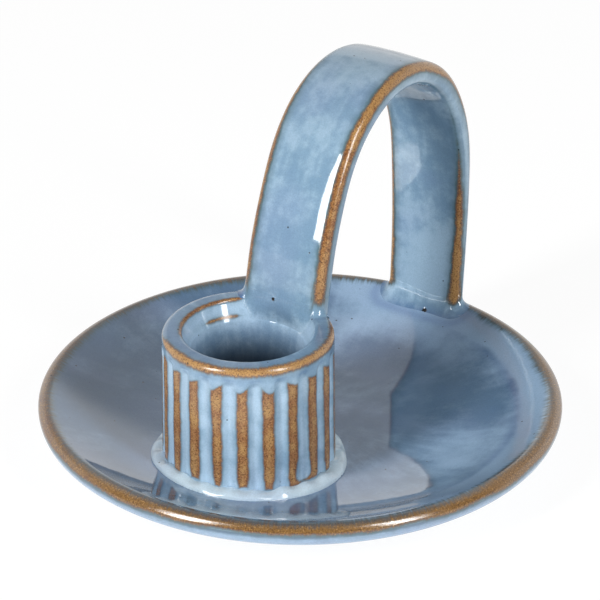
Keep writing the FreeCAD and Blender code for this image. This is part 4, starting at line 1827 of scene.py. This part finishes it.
@dataclass
class Studio:
    """Pale floor, soft lights and the room round them."""

    view: Viewpoint
    aim_height: float = 30.0 * MM
    floor_size: float = 6.0
    paper: str = "#ffffff"
    sweep_level: float = 1.2
    wall_level: float = 0.68
    room_level: float = 0.2
    fill_level: float = 0.09
    sweep_top: float = 26.0
    wall_top: float = 60.0
    edge_soft: float = 7.0
    facing_range: tuple[float, float] = (-0.25, 0.35)
    white_share: float = 0.88
    white_strength: float = 1.05
    softboxes: tuple[Softbox, ...] = (
        Softbox("softbox_left", -48.0, 27.0, 1.0, 0.19, 0.62, 24.0),
        Softbox("softbox_right", 42.0, 27.0, 1.0, 0.16, 0.62, 21.0),
    )

    def build(self) -> None:
        """Makes the floor, the room and the lights, and sets the plain view transform."""
        self.build_floor()
        self.build_room()
        aim = Vector((0.0, 0.0, self.aim_height))
        for softbox in self.softboxes:
            softbox.build(self.view.azimuth, aim)
        bpy.context.scene.view_settings.view_transform = "Standard"

    def build_floor(self) -> None:
        """Makes a square paper floor at height 0, white to the camera but still shaded by the object."""
        half = self.floor_size / 2
        mesh = bpy.data.meshes.new("floor")
        corners = [(-half, -half, 0), (half, -half, 0), (half, half, 0), (-half, half, 0)]
        mesh.from_pydata(corners, [], [(0, 1, 2, 3)])
        floor = bpy.data.objects.new("floor", mesh)
        bpy.context.collection.objects.link(floor)
        paper = bpy.data.materials.new("matt_paper")
        add = empty_tree(paper)
        seen = self.seen_rays(add)
        share = add("Math", {0: seen, 1: self.white_share}, operation="MULTIPLY")
        matt = add("BsdfDiffuse", {"Color": linear(self.paper)})
        white = add("Emission", {"Color": linear(self.paper), "Strength": self.white_strength})
        mixed = add("MixShader", {0: share, 1: matt, 2: white})
        add("OutputMaterial", {"Surface": mixed})
        mesh.materials.append(paper)

    @staticmethod
    def seen_rays(add: AddNode) -> Socket:
        """Tells the rays that the camera sees from those that light other surfaces.

        Args:
            add: adds a node to the floor's material.

        Returns:
            1 for rays seen straight on, in a gloss or through glass, and 0 for others.
        """
        path = add("LightPath").node.outputs
        seen = add("Math", {0: path["Is Camera Ray"], 1: path["Is Glossy Ray"]}, operation="ADD")
        return add("Math", {0: seen, 1: path["Is Transmission Ray"]}, operation="ADD", use_clamp=True)

    def build_room(self) -> None:
        """Makes the room that gloss, matt surfaces and the camera see.

        A gloss mirrors a white sweep low behind the object, a darker wall over it, and a faint room
        elsewhere.
        Matt surfaces get one even fill, and the camera itself sees white. The edges are smooth steps over the
        sine of the elevation.
        """
        world = bpy.data.worlds.new("studio_room")
        bpy.context.scene.world = world
        add = empty_tree(world)
        direction = add("TexCoord", output="Generated")
        rise = add("SeparateXYZ", {0: direction}, output=2)
        turn = math.radians(self.view.azimuth)
        away = (-math.sin(turn), math.cos(turn), 0.0)
        behind = add("VectorMath", {0: direction, 1: away}, operation="DOT_PRODUCT", output="Value")
        wall = self.step_down(add, rise, self.sweep_top, self.sweep_level, self.wall_level)
        over = self.step_down(add, rise, self.wall_top, 1.0, 0.0)
        start, end = self.facing_range
        facing = add("MapRange", {0: behind, 1: start, 2: end}, **EASED)
        share = add("Math", {0: over, 1: facing}, operation="MULTIPLY")
        mirrored = add("Mix", {0: share, 2: self.room_level, 3: wall}, data_type="FLOAT")
        path = add("LightPath").node.outputs
        level = add("Mix", {0: path["Is Glossy Ray"], 2: self.fill_level, 3: mirrored}, data_type="FLOAT")
        level = add("Mix", {0: path["Is Camera Ray"], 2: level, 3: 1.0}, data_type="FLOAT")
        shine = add("Background", {"Color": (1.0, 1.0, 1.0, 1.0), "Strength": level})
        add("OutputWorld", {"Surface": shine})

    def step_down(self, add: AddNode, rise: Socket, top: float, below: float, above: float) -> Socket:
        """Eases from one level to another across an elevation.

        Args:
            add: adds a node to the room.
            rise: sine of the elevation.
            top: elevation of the edge in degrees.
            below: level under the edge.
            above: level over it.

        Returns:
            The level.
        """
        low = math.sin(math.radians(top - self.edge_soft / 2))
        high = math.sin(math.radians(top + self.edge_soft / 2))
        return add("MapRange", {0: rise, 1: low, 2: high, 3: below, 4: above}, **EASED)


def pinholes(dish: Dish, cup: CandleCup, strap: HandleStrap) -> tuple[Pinhole, ...]:
    """Places the two pinholes of the photograph on the smears of clay.

    Args:
        dish: the dish, on whose lip the rear one lies.
        cup: the cup, over whose rim the front one lies.
        strap: the strap, at whose front foot it lies.

    Returns:
        Place and radius of the rear and of the front pinhole.
    """
    rear = (2.0 * MM, dish.radius - 8.1 * MM, dish.lip_height + 0.2 * MM, 0.85 * MM)
    face_y = strap.front_y - strap.front_thickness / 2
    front = (-1.5 * MM, face_y + 0.2 * MM, cup.rim_height + 1.4 * MM, 0.5 * MM)
    return (rear, front)


def main() -> None:
    """Builds the camera, the studio and every piece of the chamberstick."""
    logging.basicConfig(level=logging.INFO, format="%(name)s: %(message)s")
    dish_low, dish_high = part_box("dish")
    ring_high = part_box("foot_ring")[1]
    cup_low, cup_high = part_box("candle_cup")
    strap_low, strap_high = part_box("handle_strap")

    dish = Dish(dish_high.x, cup_low.z, dish_high.z, dish_low.z)
    view = Viewpoint(dish.radius, dish.lip_height)
    view.build()
    Studio(view).build()

    dish_glaze = ReactiveGlaze(
        "dipped_reactive_glaze_dish", blue="#597592", pale="#97b3cf", deep="#43629a", amber="#6b4526",
        gold="#7d5a2b", run_reach=0.12, cloud_reach=0.7, mottle_reach=0.4, refraction=1.86,
    )
    cup_glaze = ReactiveGlaze(
        "dipped_reactive_glaze_cup", blue="#86a4bd", pale="#a9c4da", amber="#8f6340", gold="#ad8656",
        border_width=0.35, shade_strength=0.2, lavender_span=(0.45, 0.68, 0.15), ragged_reach=0.28,
    )
    bead_glaze = ReactiveGlaze("pooled_reactive_glaze_bead", blue="#a2b9c8", pale="#bccfda")
    strap_glaze = ReactiveGlaze("dipped_reactive_glaze_strap")
    clay = BareStoneware("bare_fired_stoneware")

    settle(dish.build(), "dish", dish_glaze.material())
    ring = FootRing(ring_high.x, ring_high.z)
    settle(ring.build(), "foot_ring", clay.material())
    cup = CandleCup(dish, (cup_low.y + cup_high.y) / 2, cup_low.z, cup_high.z)
    settle(cup.build(), "candle_cup", cup_glaze.material())
    coil = FootCoil(dish, cup)
    settle(coil.build(), "cup_foot_coil", bead_glaze.material())

    front_foot_inset = 1.5 * MM
    rear_foot_inset = 4.0 * MM
    strap = HandleStrap(
        front_y=cup.middle_y + (cup.rim_radius + cup.mouth_radius) / 2 - front_foot_inset,
        rim_height=cup.rim_height,
        rear_y=dish.radius - rear_foot_inset,
        lip_height=dish.lip_height,
        top_height=strap_high.z,
        width=strap_high.x - strap_low.x,
    )
    settle(strap.build(), "handle_strap", strap_glaze.material())
    smear_glaze = ReactiveGlaze(
        "pooled_reactive_glaze_smears", pale="#a3bed2", pinholes=pinholes(dish, cup, strap))
    smear = smear_glaze.material()
    settle(FrontLuting(strap, cup).build(), "handle_cup_luting", smear)
    settle(RearLuting(strap, dish).build(), "handle_dish_luting", smear)


if __name__ == "__main__":
    main()
